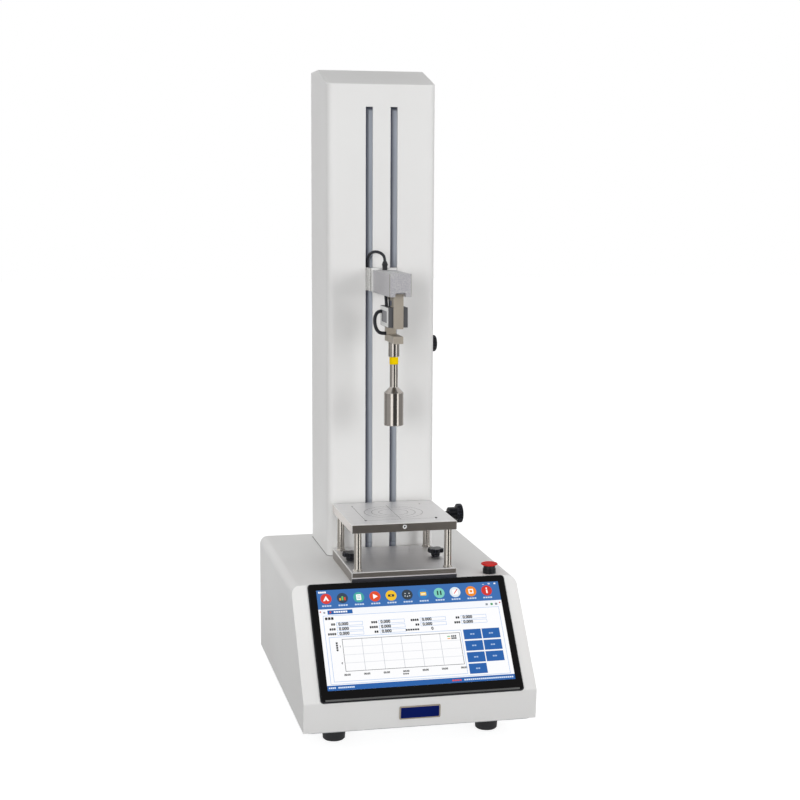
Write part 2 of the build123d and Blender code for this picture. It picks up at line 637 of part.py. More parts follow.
# Electronics
def power_supply():
    w, d = SUPPLY_X[1] - SUPPLY_X[0], SUPPLY_Y[1] - SUPPLY_Y[0]
    x, y = sum(SUPPLY_X) / 2, sum(SUPPLY_Y) / 2
    low = FLOOR_IN + SUPPLY_LIFT
    high = low + SUPPLY_H
    case = block(SUPPLY_X, SUPPLY_Y, (low, high))
    case -= block((x - 0.43 * w, x + 0.43 * w), (y - d / 2 - 1, y - 0.39 * d),
                  (low + 0.32 * SUPPLY_H, high + 1))
    for i in range(round(0.63 * d / VENT_PITCH)):
        at = y - 0.23 * d + VENT_PITCH * i
        case -= block((x - 0.33 * w, x + 0.33 * w), (at, at + VENT_W), (high - 1.5, high + 1))
    for side in SIDES:
        for end in SIDES:
            case += upright(x + side * (w / 2 - 7), y + end * (d / 2 - 7), FLOOR_IN, low, 4)
    return case


def control_board():
    w, d = BOARD_X[1] - BOARD_X[0], BOARD_Y[1] - BOARD_Y[0]
    x, y = sum(BOARD_X) / 2, sum(BOARD_Y) / 2
    low = FLOOR_IN + BOARD_LIFT
    high = low + BOARD_T
    board = block(BOARD_X, BOARD_Y, (low, high))
    # blocks on the board: centre, size and height as shares of its own sizes
    for cx, cy, bw, bd, bh in ((-0.21, -0.22, 0.36, 0.24, 0.06), (0.24, -0.24, 0.21, 0.21, 0.14),
                               (-0.26, 0.17, 0.29, 0.32, 0.24), (0.24, 0.24, 0.31, 0.14, 0.11)):
        board += block((x + (cx - bw / 2) * w, x + (cx + bw / 2) * w),
                       (y + (cy - bd / 2) * d, y + (cy + bd / 2) * d), (high, high + bh * w))
    for side in SIDES:
        for end in SIDES:
            board += upright(x + side * (w / 2 - 5), y + end * (d / 2 - 5), FLOOR_IN, low, 3)
    return board


# Motor and drive
def motor():
    half = MOTOR_SIDE / 2
    body = block((-half, half), (AXIS_Y - half, AXIS_Y + half), (MOTOR_TOP - MOTOR_H, MOTOR_TOP))
    body = chamfer(body.edges().filter_by(Axis.Z), MOTOR_CORNER)
    body += upright(0, AXIS_Y, MOTOR_TOP, MOTOR_TOP + 1.6, PILOT_R)
    return body - upright(0, AXIS_Y, MOTOR_TOP - 20, MOTOR_TOP + 3, MOTOR_SHAFT_R + RUN_CLEAR)


def motor_mount():
    """A plate on four posts that hangs the motor under the housing's top."""
    half = MOTOR_PLATE / 2
    plate = block((-half, half), (AXIS_Y - half, AXIS_Y + half), (MOTOR_TOP, MOTOR_TOP + MOTOR_PLATE_T))
    plate = fillet(plate.edges().filter_by(Axis.Z), 5)
    plate -= upright(0, AXIS_Y, MOTOR_TOP - 1, MOTOR_TOP + MOTOR_PLATE_T + 1, PILOT_R + SEAT_CLEAR)
    for x in SIDES:
        for y in SIDES:
            plate += upright(x * MOTOR_POST_AT, AXIS_Y + y * MOTOR_POST_AT, MOTOR_TOP + 1,
                             BASE_TOP - BASE_WALL, MOTOR_POST_R)
    return plate


def motor_shaft():
    return upright(0, AXIS_Y, MOTOR_TOP - 18, MOTOR_TOP + MOTOR_SHAFT_L, MOTOR_SHAFT_R)


def shaft_coupling():
    """A slit coupling that joins the motor shaft to the screw."""
    high = COUPLING_Z + COUPLING_H
    hub = upright(0, AXIS_Y, COUPLING_Z, high, COUPLING_R)
    hub = chamfer(hub.edges().filter_by(GeomType.CIRCLE), 0.8)
    middle = MOTOR_TOP + MOTOR_SHAFT_L + 1
    hub -= upright(0, AXIS_Y, COUPLING_Z - 1, middle, MOTOR_SHAFT_R + SEAT_CLEAR)
    hub -= upright(0, AXIS_Y, middle, high + 1, JOURNAL_R + SEAT_CLEAR)
    for i, z in enumerate((COUPLING_Z + 11, COUPLING_Z + 15, COUPLING_Z + 19, COUPLING_Z + 23)):
        cut = block((-COUPLING_R - 1, COUPLING_R * 0.45), (-COUPLING_R - 1, COUPLING_R + 1), (0, 1.2))
        hub -= Pos(0, AXIS_Y, z) * Rot(0, 0, 90 * i) * cut
    return hub


def drive_screw():
    low = MOTOR_TOP + MOTOR_SHAFT_L + 2
    journal = upright(0, AXIS_Y, low, FRAME_TOP_Z + FRAME_TOP_T, JOURNAL_R)
    return journal + upright(0, AXIS_Y, FRAME_FLOOR + 1, FRAME_TOP_Z - 1, LEAD_R)


def bearing(low, high, radius):
    ring = upright(0, AXIS_Y, low, high, radius - SEAT_CLEAR)
    ring = chamfer(ring.edges().filter_by(GeomType.CIRCLE), 0.6)
    return ring - upright(0, AXIS_Y, low - 1, high + 1, JOURNAL_R + RUN_CLEAR)


# Column frame
def frame_low_plate():
    half = FRAME_PLATE_W / 2
    plate = block((-half, half), (FRAME_PLATE_FRONT, SPINE_BACK), (BASE_TOP, FRAME_FLOOR))
    plate -= upright(0, AXIS_Y, BASE_TOP - 1, FRAME_FLOOR + 1, BEARING_R)
    for side in SIDES:
        plate -= upright(side * ROD_X, AXIS_Y, BASE_TOP - 1, FRAME_FLOOR + 1, ROD_R)
    return plate


def frame_top_plate():
    half = FRAME_PLATE_W / 2
    plate = block((-half, half), (STRIP_Y - 1, SPINE_BACK), (FRAME_TOP_Z, FRAME_TOP_Z + FRAME_TOP_T))
    plate -= upright(0, AXIS_Y, FRAME_TOP_Z - 1, FRAME_TOP_Z + FRAME_TOP_T + 1, UPPER_BEARING_R)
    for side in SIDES:
        plate -= upright(side * ROD_X, AXIS_Y, FRAME_TOP_Z - 1, FRAME_TOP_Z + FRAME_TOP_T + 1, ROD_R)
    return plate


def frame_spine():
    half = SPINE_W / 2
    span = FRAME_TOP_Z - FRAME_FLOOR
    spine = block((-half, half), (SPINE_BACK - SPINE_T, SPINE_BACK), (FRAME_FLOOR, FRAME_TOP_Z))
    for i in range(4):
        z = FRAME_FLOOR + (WINDOW_FIRST + WINDOW_PITCH * i) * span
        window = block((WINDOW_SIDE - half, half - WINDOW_SIDE), (SPINE_BACK - SPINE_T - 1, SPINE_BACK + 1),
                       (z - WINDOW_H * span / 2, z + WINDOW_H * span / 2))
        spine -= fillet(window.edges().filter_by(Axis.Y), 8)
    for x, z in rear_screw_places():
        spine -= along_y(x, SPINE_BACK - SPINE_T - 1, SPINE_BACK + 1, z, SCREW_R + SEAT_CLEAR)
    return spine


def guide_rods():
    return [upright(side * ROD_X, AXIS_Y, BASE_TOP, FRAME_TOP_Z + FRAME_TOP_T, ROD_R - SEAT_CLEAR)
            for side in SIDES]


def dust_strips():
    """Flat strips behind the slots; the bracket's legs go round their edges."""
    return [block((side * SLOT_X - STRIP_W / 2, side * SLOT_X + STRIP_W / 2), (STRIP_Y, STRIP_Y + STRIP_T),
                  (FRAME_FLOOR, FRAME_TOP_Z)) for side in SIDES]


# Column covers
def column_form(inset):
    outline = Plane.YZ * make_face(Polyline(
        (COLUMN_FRONT, BASE_TOP), (COLUMN_FRONT, COLUMN_FRONT_TOP), (RIDGE_Y, COLUMN_TOP),
        (COLUMN_BACK, COLUMN_TOP), (COLUMN_BACK, BASE_TOP), close=True))
    if inset:
        outline = offset(outline, -inset, kind=Kind.INTERSECTION)
    form = extrude(outline, COLUMN_W / 2 - inset, both=True)
    fronts = form.edges().filter_by(Axis.Z).group_by(Axis.Y)[0]
    form = fillet(fronts, COLUMN_ROUND - inset)
    if not inset:
        rims = [edge for edge in form.edges()
                if edge.center().Z > COLUMN_FRONT_TOP - 12 and edge.center().Y < COLUMN_BACK - 1
                and abs(edge.center().X) > 1]
        form = fillet(rims, COVER_EDGE)
    return form


def column_cover():
    inner = COLUMN_W / 2 - COLUMN_WALL
    cover = column_form(0) - column_form(COLUMN_WALL)
    # open underside and open back
    cover -= Pos(0, 0, -2 * COLUMN_WALL) * column_form(COLUMN_WALL)
    cover -= block((-inner, inner), (COLUMN_BACK - COLUMN_WALL - 1, COLUMN_BACK + 1),
                   (BASE_TOP - 1, COLUMN_TOP - COLUMN_WALL))
    for side in SIDES:
        x = side * SLOT_X
        cover -= block((x - SLOT_W / 2, x + SLOT_W / 2), (COLUMN_FRONT - 1, COLUMN_FRONT + COLUMN_WALL + 1),
                       (BASE_TOP + SLOT_FOOT, SLOT_TOP))
    half = LIMIT_SLOT_W / 2
    slot = block((inner - 1, COLUMN_W / 2 + 1), (LIMIT_Y - half, LIMIT_Y + half), LIMIT_SLOT_Z)
    cover -= fillet(slot.edges().filter_by(Axis.X), half - 0.05)
    return cover


def rear_cover():
    half = COLUMN_W / 2 - COLUMN_WALL - COVER_GAP
    cover = block((-half, half), (COLUMN_BACK - COLUMN_WALL, COLUMN_BACK),
                  (BASE_TOP, COLUMN_TOP - COLUMN_WALL - COVER_GAP))
    for x, z in rear_screw_places():
        cover -= along_y(x, COLUMN_BACK - COLUMN_WALL - 1, COLUMN_BACK + 1, z, SCREW_R + SCREW_CLEAR)
    for side in SIDES:
        for i in range(6):
            z = COLUMN_TOP - 60 - 9 * i
            cover -= block((side * 22 - 14, side * 22 + 14), (COLUMN_BACK - COLUMN_WALL - 1, COLUMN_BACK + 1),
                           (z, z + 3))
    return cover


def rear_screw_places():
    x = SPINE_W / 2 - 8
    heights = (FRAME_FLOOR + 20, (FRAME_FLOOR + FRAME_TOP_Z) / 2, FRAME_TOP_Z - 20)
    return [(side * x, z) for side in SIDES for z in heights]


def cover_screws():
    """Pan-head screws of the base plate and of the rear cover."""
    screws = [Pos(side * (BASE_W / 2 - BASE_WALL - FLANGE_W / 2), y, FOOT_H) * Rot(180, 0, 0) * pan_screw()
              for side in SIDES for y in FLANGE_SCREW_Y]
    screws += [Pos(x, COLUMN_BACK, z) * Rot(-90, 0, 0) * pan_screw() for x, z in rear_screw_places()]
    return screws


def spacer_pads():
    """Tapped spacers between the spine and the rear cover."""
    pads = []
    for x, z in rear_screw_places():
        pad = along_y(x, SPINE_BACK, COLUMN_BACK - COLUMN_WALL, z, 5)
        pads.append(pad - along_y(x, SPINE_BACK - 1, COLUMN_BACK, z, SCREW_R + SEAT_CLEAR))
    return pads


# Carriage
def carriage_block():
    half_w, half_d = CARRIAGE_W / 2, CARRIAGE_D / 2
    high = CARRIAGE_Z + CARRIAGE_H
    body = block((-half_w, half_w), (AXIS_Y - half_d, AXIS_Y + half_d), (CARRIAGE_Z, high))
    body = chamfer(body.edges().filter_by(Axis.Z), 3)
    body -= upright(0, AXIS_Y, CARRIAGE_Z - 1, high + 1, NUT_BODY_R)
    for side in SIDES:
        body -= upright(side * ROD_X, AXIS_Y, CARRIAGE_Z - 1, high + 1, BUSH_R)
    return body


def ball_nut():
    nut = upright(0, AXIS_Y, CARRIAGE_Z - NUT_FLANGE_H, CARRIAGE_Z, NUT_FLANGE_R)
    flat = NUT_FLANGE_R * 0.78
    for side in SIDES:
        cut = Box(3 * NUT_FLANGE_R, 20, 2 * NUT_FLANGE_H)
        nut -= Pos(0, AXIS_Y + side * (flat + 10), CARRIAGE_Z - NUT_FLANGE_H / 2) * cut
    nut += upright(0, AXIS_Y, CARRIAGE_Z, CARRIAGE_Z + NUT_BODY_H, NUT_BODY_R - SEAT_CLEAR)
    return nut - upright(0, AXIS_Y, CARRIAGE_Z - 20, CARRIAGE_Z + NUT_BODY_H + 1, LEAD_R + RUN_CLEAR)


def linear_bushings():
    rings = []
    for side in SIDES:
        for low in (CARRIAGE_Z, CARRIAGE_Z + CARRIAGE_H - BUSH_L):
            ring = upright(side * ROD_X, AXIS_Y, low, low + BUSH_L, BUSH_R - SEAT_CLEAR)
            rings.append(ring - upright(side * ROD_X, AXIS_Y, low - 1, low + BUSH_L + 1, ROD_R + RUN_CLEAR))
    return rings


def limit_sensor():
    """A small proximity sensor on the carriage's right side."""
    edge = CARRIAGE_W / 2
    body = block((edge, edge + SENSOR_T), (LIMIT_Y - 6, LIMIT_Y + 6), (ARM_Z, ARM_Z + 22))
    return chamfer(body.edges().filter_by(Axis.Z).group_by(Axis.X)[-1], 1)


# Crosshead
def crosshead_bracket():
    """A block outside the column whose legs go in through both slots."""
    heights = BRACKET_Z
    back = AXIS_Y - CARRIAGE_D / 2
    half = BRACKET_W / 2
    bracket = block((-half, half), (BRACKET_FRONT, BRACKET_BACK), heights)
    bracket = chamfer(bracket.edges().filter_by(Axis.Z).group_by(Axis.Y)[0], ARM_EDGE)
    for side in SIDES:
        leg = block((half - LEG_T, half), (BRACKET_BACK - 1, JOG_Y + JOG_T), heights)
        leg += block((half - LEG_T, REAR_LEG_IN + REAR_LEG_T), (JOG_Y, JOG_Y + JOG_T), heights)
        leg += block((REAR_LEG_IN, REAR_LEG_IN + REAR_LEG_T), (JOG_Y, back), heights)
        bracket += leg if side > 0 else mirror(leg, Plane.YZ)
    return bracket


def cell_arm():
    half = ARM_W / 2
    arm = block((-half, half), (ARM_FRONT, BRACKET_FRONT), (ARM_Z, ARM_TOP))
    arm = chamfer(arm.edges().filter_by(Axis.Z).group_by(Axis.Y)[0], ARM_EDGE)
    groove = CELL_T / 2 + GROOVE_CLEAR
    arm -= block((-groove, groove), (ARM_FRONT - 1, GROOVE_END), (ARM_Z - 1, CELL_TOP))
    arm -= block((-groove, groove), (ARM_FRONT - 1, POCKET_END), (ARM_Z - 1, CELL_TOP + POCKET_H))
    arm -= upright(0, PROBE_Y, ARM_TOP - COUNTERBORE_H, ARM_TOP + 1, COUNTERBORE_R)
    return arm - upright(0, PROBE_Y, CELL_TOP - 1, ARM_TOP, BOLT_R + SCREW_CLEAR)


def arm_bolt():
    seat = ARM_TOP - COUNTERBORE_H
    bolt = upright(0, PROBE_Y, seat, seat + BOLT_HEAD_H, BOLT_HEAD_R)
    bolt = chamfer(bolt.edges().group_by(Axis.Z)[-1], 0.7)
    bolt -= Pos(0, PROBE_Y, seat + BOLT_HEAD_H - 2.5) * extrude(RegularPolygon(SOCKET_R, 6), 3)
    return bolt + upright(0, PROBE_Y, CELL_TOP - CELL_BEAM + 1, seat, BOLT_R)


def load_cell():
    """An S-shaped beam: one slit opens to the front, the other to the back."""
    half = CELL_D / 2
    front, back = PROBE_Y - half, PROBE_Y + half
    cell = block((-CELL_T / 2, CELL_T / 2), (front, back), (CELL_LOW, CELL_TOP))
    low, high = CELL_LOW + CELL_BEAM, CELL_TOP - CELL_BEAM
    reach = CELL_T / 2 + 1
    cell -= block((-reach, reach), (front - 1, back - CELL_POST), (low, low + CELL_SLIT))
    cell -= block((-reach, reach), (front + CELL_POST, back + 1), (high - CELL_SLIT, high))
    cell -= along_x(-reach, reach, PROBE_Y, (CELL_LOW + CELL_TOP) / 2, CELL_HOLE_R)
    cell -= upright(0, PROBE_Y, high - 1, CELL_TOP + 1, BOLT_R + SEAT_CLEAR)
    return cell - upright(0, PROBE_Y, CELL_LOW - 1, low + 1, SPIGOT_R + SEAT_CLEAR)


def cell_covers():
    """Two potted side covers over the beam's hole, each with a shallow panel."""
    covers = []
    face = CELL_T / 2 + COVER_T
    depth = (PROBE_Y - COVER_D / 2, PROBE_Y + COVER_D / 2)
    for side in SIDES:
        cover = block((CELL_T / 2, face), depth, (COVER_Z, COVER_Z + COVER_H))
        cover = chamfer(cover.edges().filter_by(Axis.Z).group_by(Axis.X)[-1], 0.5)
        cover -= block((face - 0.6, face + 1), (depth[0] + 8, depth[1] - 8),
                       (COVER_Z + 5, COVER_Z + COVER_H - 5))
        covers.append(cover if side > 0 else mirror(cover, Plane.YZ))
    return covers


def probe_adaptor():
    adaptor = upright(0, PROBE_Y, RING_TOP, CELL_LOW, ADAPTOR_R)
    adaptor = chamfer(adaptor.edges().filter_by(GeomType.CIRCLE), 0.8)
    adaptor += upright(0, PROBE_Y, CELL_LOW - 1, CELL_LOW + SPIGOT_L, SPIGOT_R)
    return adaptor - upright(0, PROBE_Y, RING_TOP - 1, RING_TOP + PROBE_SPIGOT_L - RING_H + 0.5,
                             SPIGOT_R + SEAT_CLEAR)


def marker_ring():
    ring = upright(0, PROBE_Y, RING_LOW, RING_TOP, RING_R)
    ring = chamfer(ring.edges().filter_by(GeomType.CIRCLE), 0.3)
    return ring - upright(0, PROBE_Y, RING_LOW - 1, RING_TOP + 1, SPIGOT_R + SEAT_CLEAR)


def probe():
    rod_low = RING_LOW - PROBE_ROD_L
    face = rod_low - PROBE_CONE_H - PROBE_H
    form = turned([(0, face), (PROBE_R - PROBE_EDGE, face), (PROBE_R, face + PROBE_EDGE),
                   (PROBE_R, rod_low - PROBE_CONE_H), (PROBE_ROD_R, rod_low), (PROBE_ROD_R, RING_LOW),
                   (SPIGOT_R, RING_LOW), (SPIGOT_R, RING_LOW + PROBE_SPIGOT_L),
                   (0, RING_LOW + PROBE_SPIGOT_L)])
    return Pos(0, PROBE_Y, 0) * form


# Leads: straight runs joined by the largest arcs that the runs allow
def lead(points, radius):
    corners = [Vector(*p) for p in points]
    radii = []
    for before, at, after in zip(corners, corners[1:], corners[2:]):
        run = min((at - before).length, (after - at).length)
        turn = radians((at - before).get_angle(after - at))
        radii.append(0.45 * run / tan(turn / 2))
    path = FilletPolyline(*corners, radius=radii)
    tube = sweep(Plane(origin=path @ 0, z_dir=path % 0) * Circle(radius), path=path)
    stretch = sum(edge.length for edge in path.edges())
    print(f"lead: length {stretch:.1f}, radii {[round(r, 1) for r in radii]}, "
          f"volume ratio {tube.volume / (pi * radius ** 2 * stretch):.4f}")
    return tube


def cable_boot():
    body = turned([(0, 0), (BOOT_R, 0), (BOOT_R, 5), (BOOT_R + 0.7, 7), (BOOT_R, 8.5),
                   (CABLE_R + 0.5, BOOT_H), (0, BOOT_H)])
    return Pos(0, BOOT_Y, ARM_TOP) * body


def carriage_cable():
    top = ARM_TOP + BOOT_H
    x, y = CABLE_FOOT
    return lead([(0, BOOT_Y, top), (0, BOOT_Y, top + 5), (-4, BOOT_Y + 3, top + 10),
                 (-10.5, BOOT_Y + 9, top + 12), (-15.5, BOOT_Y + 17, top + 9), (x, y - 3, top + 2.5),
                 (x, y, top - 3.5), (x, y, BRACKET_Z[1])], CABLE_R)


def cell_leads():
    """Two leads from the arm to the left cover and one loop to the lower limb."""
    face = -(CELL_T / 2 + COVER_T)
    top = COVER_Z + COVER_H
    x = face + COVER_T / 2
    y = PROBE_Y + 2
    thick = lead([(x, y, top), (x, y, top + 3.5), (x, y + 3.5, ARM_Z - 3.5), (x, y + 3.5, ARM_Z)],
                 THICK_LEAD_R)
    y = PROBE_Y - 14
    thin = lead([(x, y, top), (x, y, top + 4), (x, y + 1, ARM_Z - 4), (x, y + 1, ARM_Z)], THIN_LEAD_R)
    y = PROBE_Y + 16
    low = CELL_LOW + CELL_BEAM / 2
    loop = lead([(face, y, top - 7), (face - 5, y, top - 7), (face - 8.5, y, top - 14),
                 (face - 8, y, top - 24), (face - 5, y, top - 34), (face - 1, y, low),
                 (-CELL_T / 2, y, low)], THICK_LEAD_R)
    return [thick, thin, loop]


# Sample platform
def platform_plate(low, high):
    half = PLATFORM_W / 2
    plate = block((-half, half), (PROBE_Y - half, PROBE_Y + half), (low, high))
    plate = chamfer(plate.edges().filter_by(Axis.Z), PLATFORM_EDGE)
    return chamfer(plate.edges().group_by(Axis.Z)[-1], PLATFORM_EDGE)


def post_places():
    at = PLATFORM_W / 2 - POST_INSET
    return [(x * at, PROBE_Y + y * at) for x in SIDES for y in SIDES]


def lower_plate():
    plate = platform_plate(BASE_TOP, LOWER_TOP)
    for x, y in post_places():
        plate -= upright(x, y, BASE_TOP - 1, LOWER_TOP + 1, POST_SCREW_R + SCREW_CLEAR)
        plate -= upright(x, y, BASE_TOP - 1, BASE_TOP + POST_SCREW_HEAD_H + 0.5,
                         POST_SCREW_HEAD_R + SCREW_CLEAR)
    for side in SIDES:
        plate -= upright(side * BASE_KNOB_X, PROBE_Y, BASE_TOP - 1, LOWER_TOP + 1, STUD_R + 2 * RUN_CLEAR)
    return plate


def platform_posts():
    posts = []
    for x, y in post_places():
        post = turned([(0, LOWER_TOP), (POST_FOOT_R, LOWER_TOP), (POST_R, LOWER_TOP + POST_FOOT_H),
                       (POST_R, TOP_UNDER), (0, TOP_UNDER)])
        post -= upright(0, 0, LOWER_TOP - 1, BASE_TOP + POST_SCREW_L + 2, POST_SCREW_R + SEAT_CLEAR)
        posts.append(Pos(x, y, 0) * post)
    return posts


def post_screws():
    screws = []
    low = BASE_TOP + 0.5
    for x, y in post_places():
        screw = upright(x, y, low, low + POST_SCREW_HEAD_H, POST_SCREW_HEAD_R)
        screw += upright(x, y, low, BASE_TOP + POST_SCREW_L, POST_SCREW_R)
        screws.append(screw - Pos(x, y, low - 1) * extrude(RegularPolygon(POST_SCREW_R * 0.8, 6), 4))
    return screws


def top_plate():
    plate = platform_plate(TOP_UNDER, PLATFORM_TOP)
    hole_z = PLATFORM_TOP - PLATFORM_HOLE_Z
    for x in SIDES:
        for y in SIDES:
            plate -= upright(x * FIXTURE_AT, PROBE_Y + y * FIXTURE_AT, TOP_UNDER - 1, PLATFORM_TOP + 1,
                             FIXTURE_R)
    half = PLATFORM_W / 2
    plate -= along_x(half - CLAMP_STUD_L - 2 + CLAMP_STAND, half + 1, PROBE_Y, hole_z, STUD_R + RUN_CLEAR)
    return plate - along_y(0, PROBE_Y - half - 1, PROBE_Y - half + FRONT_SCREW_L + 2, hole_z,
                           FRONT_SCREW_R + SEAT_CLEAR)


def front_screw():
    front = PROBE_Y - PLATFORM_W / 2
    hole_z = PLATFORM_TOP - PLATFORM_HOLE_Z
    screw = along_y(0, front + 0.4, front + FRONT_SCREW_L, hole_z, FRONT_SCREW_R)
    socket = extrude(RegularPolygon(FRONT_SCREW_R * 0.55, 6), 2.5)
    return screw - Pos(0, front, hole_z) * Rot(-90, 0, 0) * socket


# Knobs, along +Z with the hub's seat at zero and the stud below it
def fluted_knob(head, hub, stud_l, lobes, lobe_depth, dome):
    """A knob with its head's and hub's (radius, length), its flutes and its rounded outer edge."""
    head_r, head_t = head
    hub_r, hub_l = hub
    knob = turned([(0, 0), (hub_r - 1, 0), (hub_r, 1), (hub_r, hub_l), (0, hub_l)])
    disc = Pos(0, 0, hub_l + head_t / 2) * Cylinder(head_r, head_t)
    disc = chamfer(disc.edges().filter_by(GeomType.CIRCLE).group_by(Axis.Z)[0], KNOB_EDGE)
    disc = fillet(disc.edges().filter_by(GeomType.CIRCLE).group_by(Axis.Z)[-1], dome)
    flute_r = 0.62 * pi * head_r / lobes
    for i in range(lobes):
        flute = Pos(head_r + flute_r - lobe_depth, 0, hub_l + head_t / 2) * Cylinder(flute_r, head_t + 2)
        disc -= Rot(0, 0, 360 * i / lobes) * flute
    return knob + disc + upright(0, 0, -stud_l, 1, STUD_R)


def base_knob(side):
    knob = fluted_knob((BASE_KNOB_HEAD_R, BASE_KNOB_HEAD_T), (BASE_KNOB_HUB_R, BASE_KNOB_HUB_L),
                       BASE_KNOB_STUD_L, 5, 2.6, KNOB_EDGE)
    return Pos(side * BASE_KNOB_X, PROBE_Y, LOWER_TOP + 0.2) * Rot(0, 0, 18) * knob


def clamp_knob():
    knob = fluted_knob((CLAMP_HEAD_R, CLAMP_HEAD_T), (CLAMP_HUB_R, CLAMP_HUB_L), CLAMP_STUD_L, 10, 1.6,
                       CLAMP_DOME)
    return Pos(PLATFORM_W / 2 + CLAMP_STAND, PROBE_Y, PLATFORM_TOP - PLATFORM_HOLE_Z) * Rot(0, 90, 0) * knob


def limit_knob():
    stud = LIMIT_GAP * 2 + COLUMN_WALL + LIMIT_BLOCK[0] - 1
    knob = fluted_knob((LIMIT_HEAD_R, LIMIT_HEAD_T), (CLAMP_HUB_R, LIMIT_HUB_L), stud, 14, 0.9, LIMIT_DOME)
    return Pos(COLUMN_W / 2 + LIMIT_GAP, LIMIT_Y, LIMIT_Z) * Rot(0, 90, 0) * knob


def limit_stop():
    """The stop behind the right wall that the knob clamps at a chosen height."""
    w, d, h = LIMIT_BLOCK
    outer = COLUMN_W / 2 - COLUMN_WALL - LIMIT_GAP
    stop = block((outer - w, outer), (LIMIT_Y - d / 2, LIMIT_Y + d / 2), (LIMIT_Z - h / 2, LIMIT_Z + h / 2))
    stop = chamfer(stop.edges().filter_by(Axis.X), 1.5)
    return stop - along_x(outer - w - 1, outer + 1, LIMIT_Y, LIMIT_Z, STUD_R + RUN_CLEAR)


os.makedirs("parts", exist_ok=True)

save("base_housing", base_housing())
save("base_plate", base_plate())
save("rubber_feet", *rubber_feet())
save("foot_screws", *foot_screws())
save("cover_screws", *cover_screws())
save("name_plate", name_plate())

save("display_frame", display_frame())
save("touch_glass", touch_glass())
save("lcd_module", lcd_module())

save("estop_collar", estop_collar())
save("estop_nut", estop_nut())
save("estop_block", estop_block())
save("estop_stem", estop_stem())
save("estop_head", estop_head())

save("power_inlet", power_inlet())
save("switch_frame", switch_frame())
save("switch_rocker", switch_rocker())
save("serial_port", serial_port())
save("power_supply", power_supply())
save("control_board", control_board())

save("motor", motor())
save("motor_mount", motor_mount())
save("motor_shaft", motor_shaft())
save("shaft_coupling", shaft_coupling())
save("drive_screw", drive_screw())
save("lower_bearing", bearing(FRAME_FLOOR - BEARING_H, FRAME_FLOOR, BEARING_R))
save("upper_bearing", bearing(FRAME_TOP_Z, FRAME_TOP_Z + FRAME_TOP_T, UPPER_BEARING_R))

save("frame_low_plate", frame_low_plate())
save("frame_top_plate", frame_top_plate())
save("frame_spine", frame_spine())
save("guide_rods", *guide_rods())
save("dust_strips", *dust_strips())
save("column_cover", column_cover())
save("rear_cover", rear_cover())
save("spacer_pads", *spacer_pads())

save("carriage_block", carriage_block())
save("ball_nut", ball_nut())
save("linear_bushings", *linear_bushings())
save("limit_sensor", limit_sensor())
save("crosshead_bracket", crosshead_bracket())
save("cell_arm", cell_arm())
save("arm_bolt", arm_bolt())
save("load_cell", load_cell())
save("cell_covers", *cell_covers())
save("probe_adaptor", probe_adaptor())
save("marker_ring", marker_ring())
save("probe", probe())
save("cable_boot", cable_boot())
save("carriage_cable", carriage_cable())
save("cell_leads", *cell_leads())

save("lower_plate", lower_plate())
save("platform_posts", *platform_posts())
save("post_screws", *post_screws())
save("top_plate", top_plate())
save("front_screw", front_screw())
save("base_knob_left", base_knob(-1))
save("base_knob_right", base_knob(1))
save("clamp_knob", clamp_knob())
save("limit_knob", limit_knob())
save("limit_stop", limit_stop())
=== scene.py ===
from math import atan2, cos, pi, radians, sin, tan

import bpy
import numpy as np
from mathutils import Matrix, Vector


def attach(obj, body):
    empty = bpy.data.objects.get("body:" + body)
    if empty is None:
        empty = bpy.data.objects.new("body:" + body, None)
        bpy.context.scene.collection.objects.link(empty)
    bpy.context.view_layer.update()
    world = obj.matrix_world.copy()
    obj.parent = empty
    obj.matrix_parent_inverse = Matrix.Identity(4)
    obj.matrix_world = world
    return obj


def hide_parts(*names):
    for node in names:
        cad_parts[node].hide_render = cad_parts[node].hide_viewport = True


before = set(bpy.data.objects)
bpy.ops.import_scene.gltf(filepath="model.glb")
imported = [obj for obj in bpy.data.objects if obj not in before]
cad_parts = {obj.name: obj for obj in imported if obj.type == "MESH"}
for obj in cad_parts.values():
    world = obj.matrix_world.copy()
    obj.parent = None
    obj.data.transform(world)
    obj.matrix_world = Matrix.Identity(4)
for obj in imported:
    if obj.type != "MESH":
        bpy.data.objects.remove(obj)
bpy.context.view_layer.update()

# The camera stands nearly two metres in front of the instrument, a little to
# its left and at two thirds of its height, looking slightly down.
LENS = 70.90
CAMERA_AT = (-0.40917, -1.89237, 0.64431)
TURN, DIP, ROLL = radians(12.622), radians(7.701), radians(0.242)

ahead = Vector((sin(TURN) * cos(DIP), cos(TURN) * cos(DIP), -sin(DIP)))
level = Vector((cos(TURN), -sin(TURN), 0.0))
upward = level.cross(ahead)
right = cos(ROLL) * level + sin(ROLL) * upward
upward = -sin(ROLL) * level + cos(ROLL) * upward
camera_data = bpy.data.cameras.new("camera")
camera_data.lens = LENS
camera_data.sensor_width = 36.0
camera_data.clip_start = 0.05
camera = bpy.data.objects.new("camera", camera_data)
camera.matrix_world = Matrix((
    (right.x, upward.x, -ahead.x, CAMERA_AT[0]),
    (right.y, upward.y, -ahead.y, CAMERA_AT[1]),
    (right.z, upward.z, -ahead.z, CAMERA_AT[2]),
    (0.0, 0.0, 0.0, 1.0)))
bpy.context.scene.collection.objects.link(camera)
bpy.context.scene.camera = camera


# Leads of the moving head: soft black rubber-jacketed cables, one from the boot
# on the arm into the left slot and three short ones at the load cell's left
# cover. Each is held at both ends and bends in one smooth line.
def linear(colour):
    """An sRGB colour such as "#e4e4e4" as linear red, green, blue and alpha. Each part is
    raised to the power of 2.4, or divided by 12.92 close to black."""
    parts = np.array([int(colour[i:i + 2], 16) for i in (1, 3, 5)]) / 255
    parts = np.where(parts <= 0.04045, parts / 12.92, ((parts + 0.055) / 1.055) ** 2.4)
    return (*parts.tolist(), 1.0)


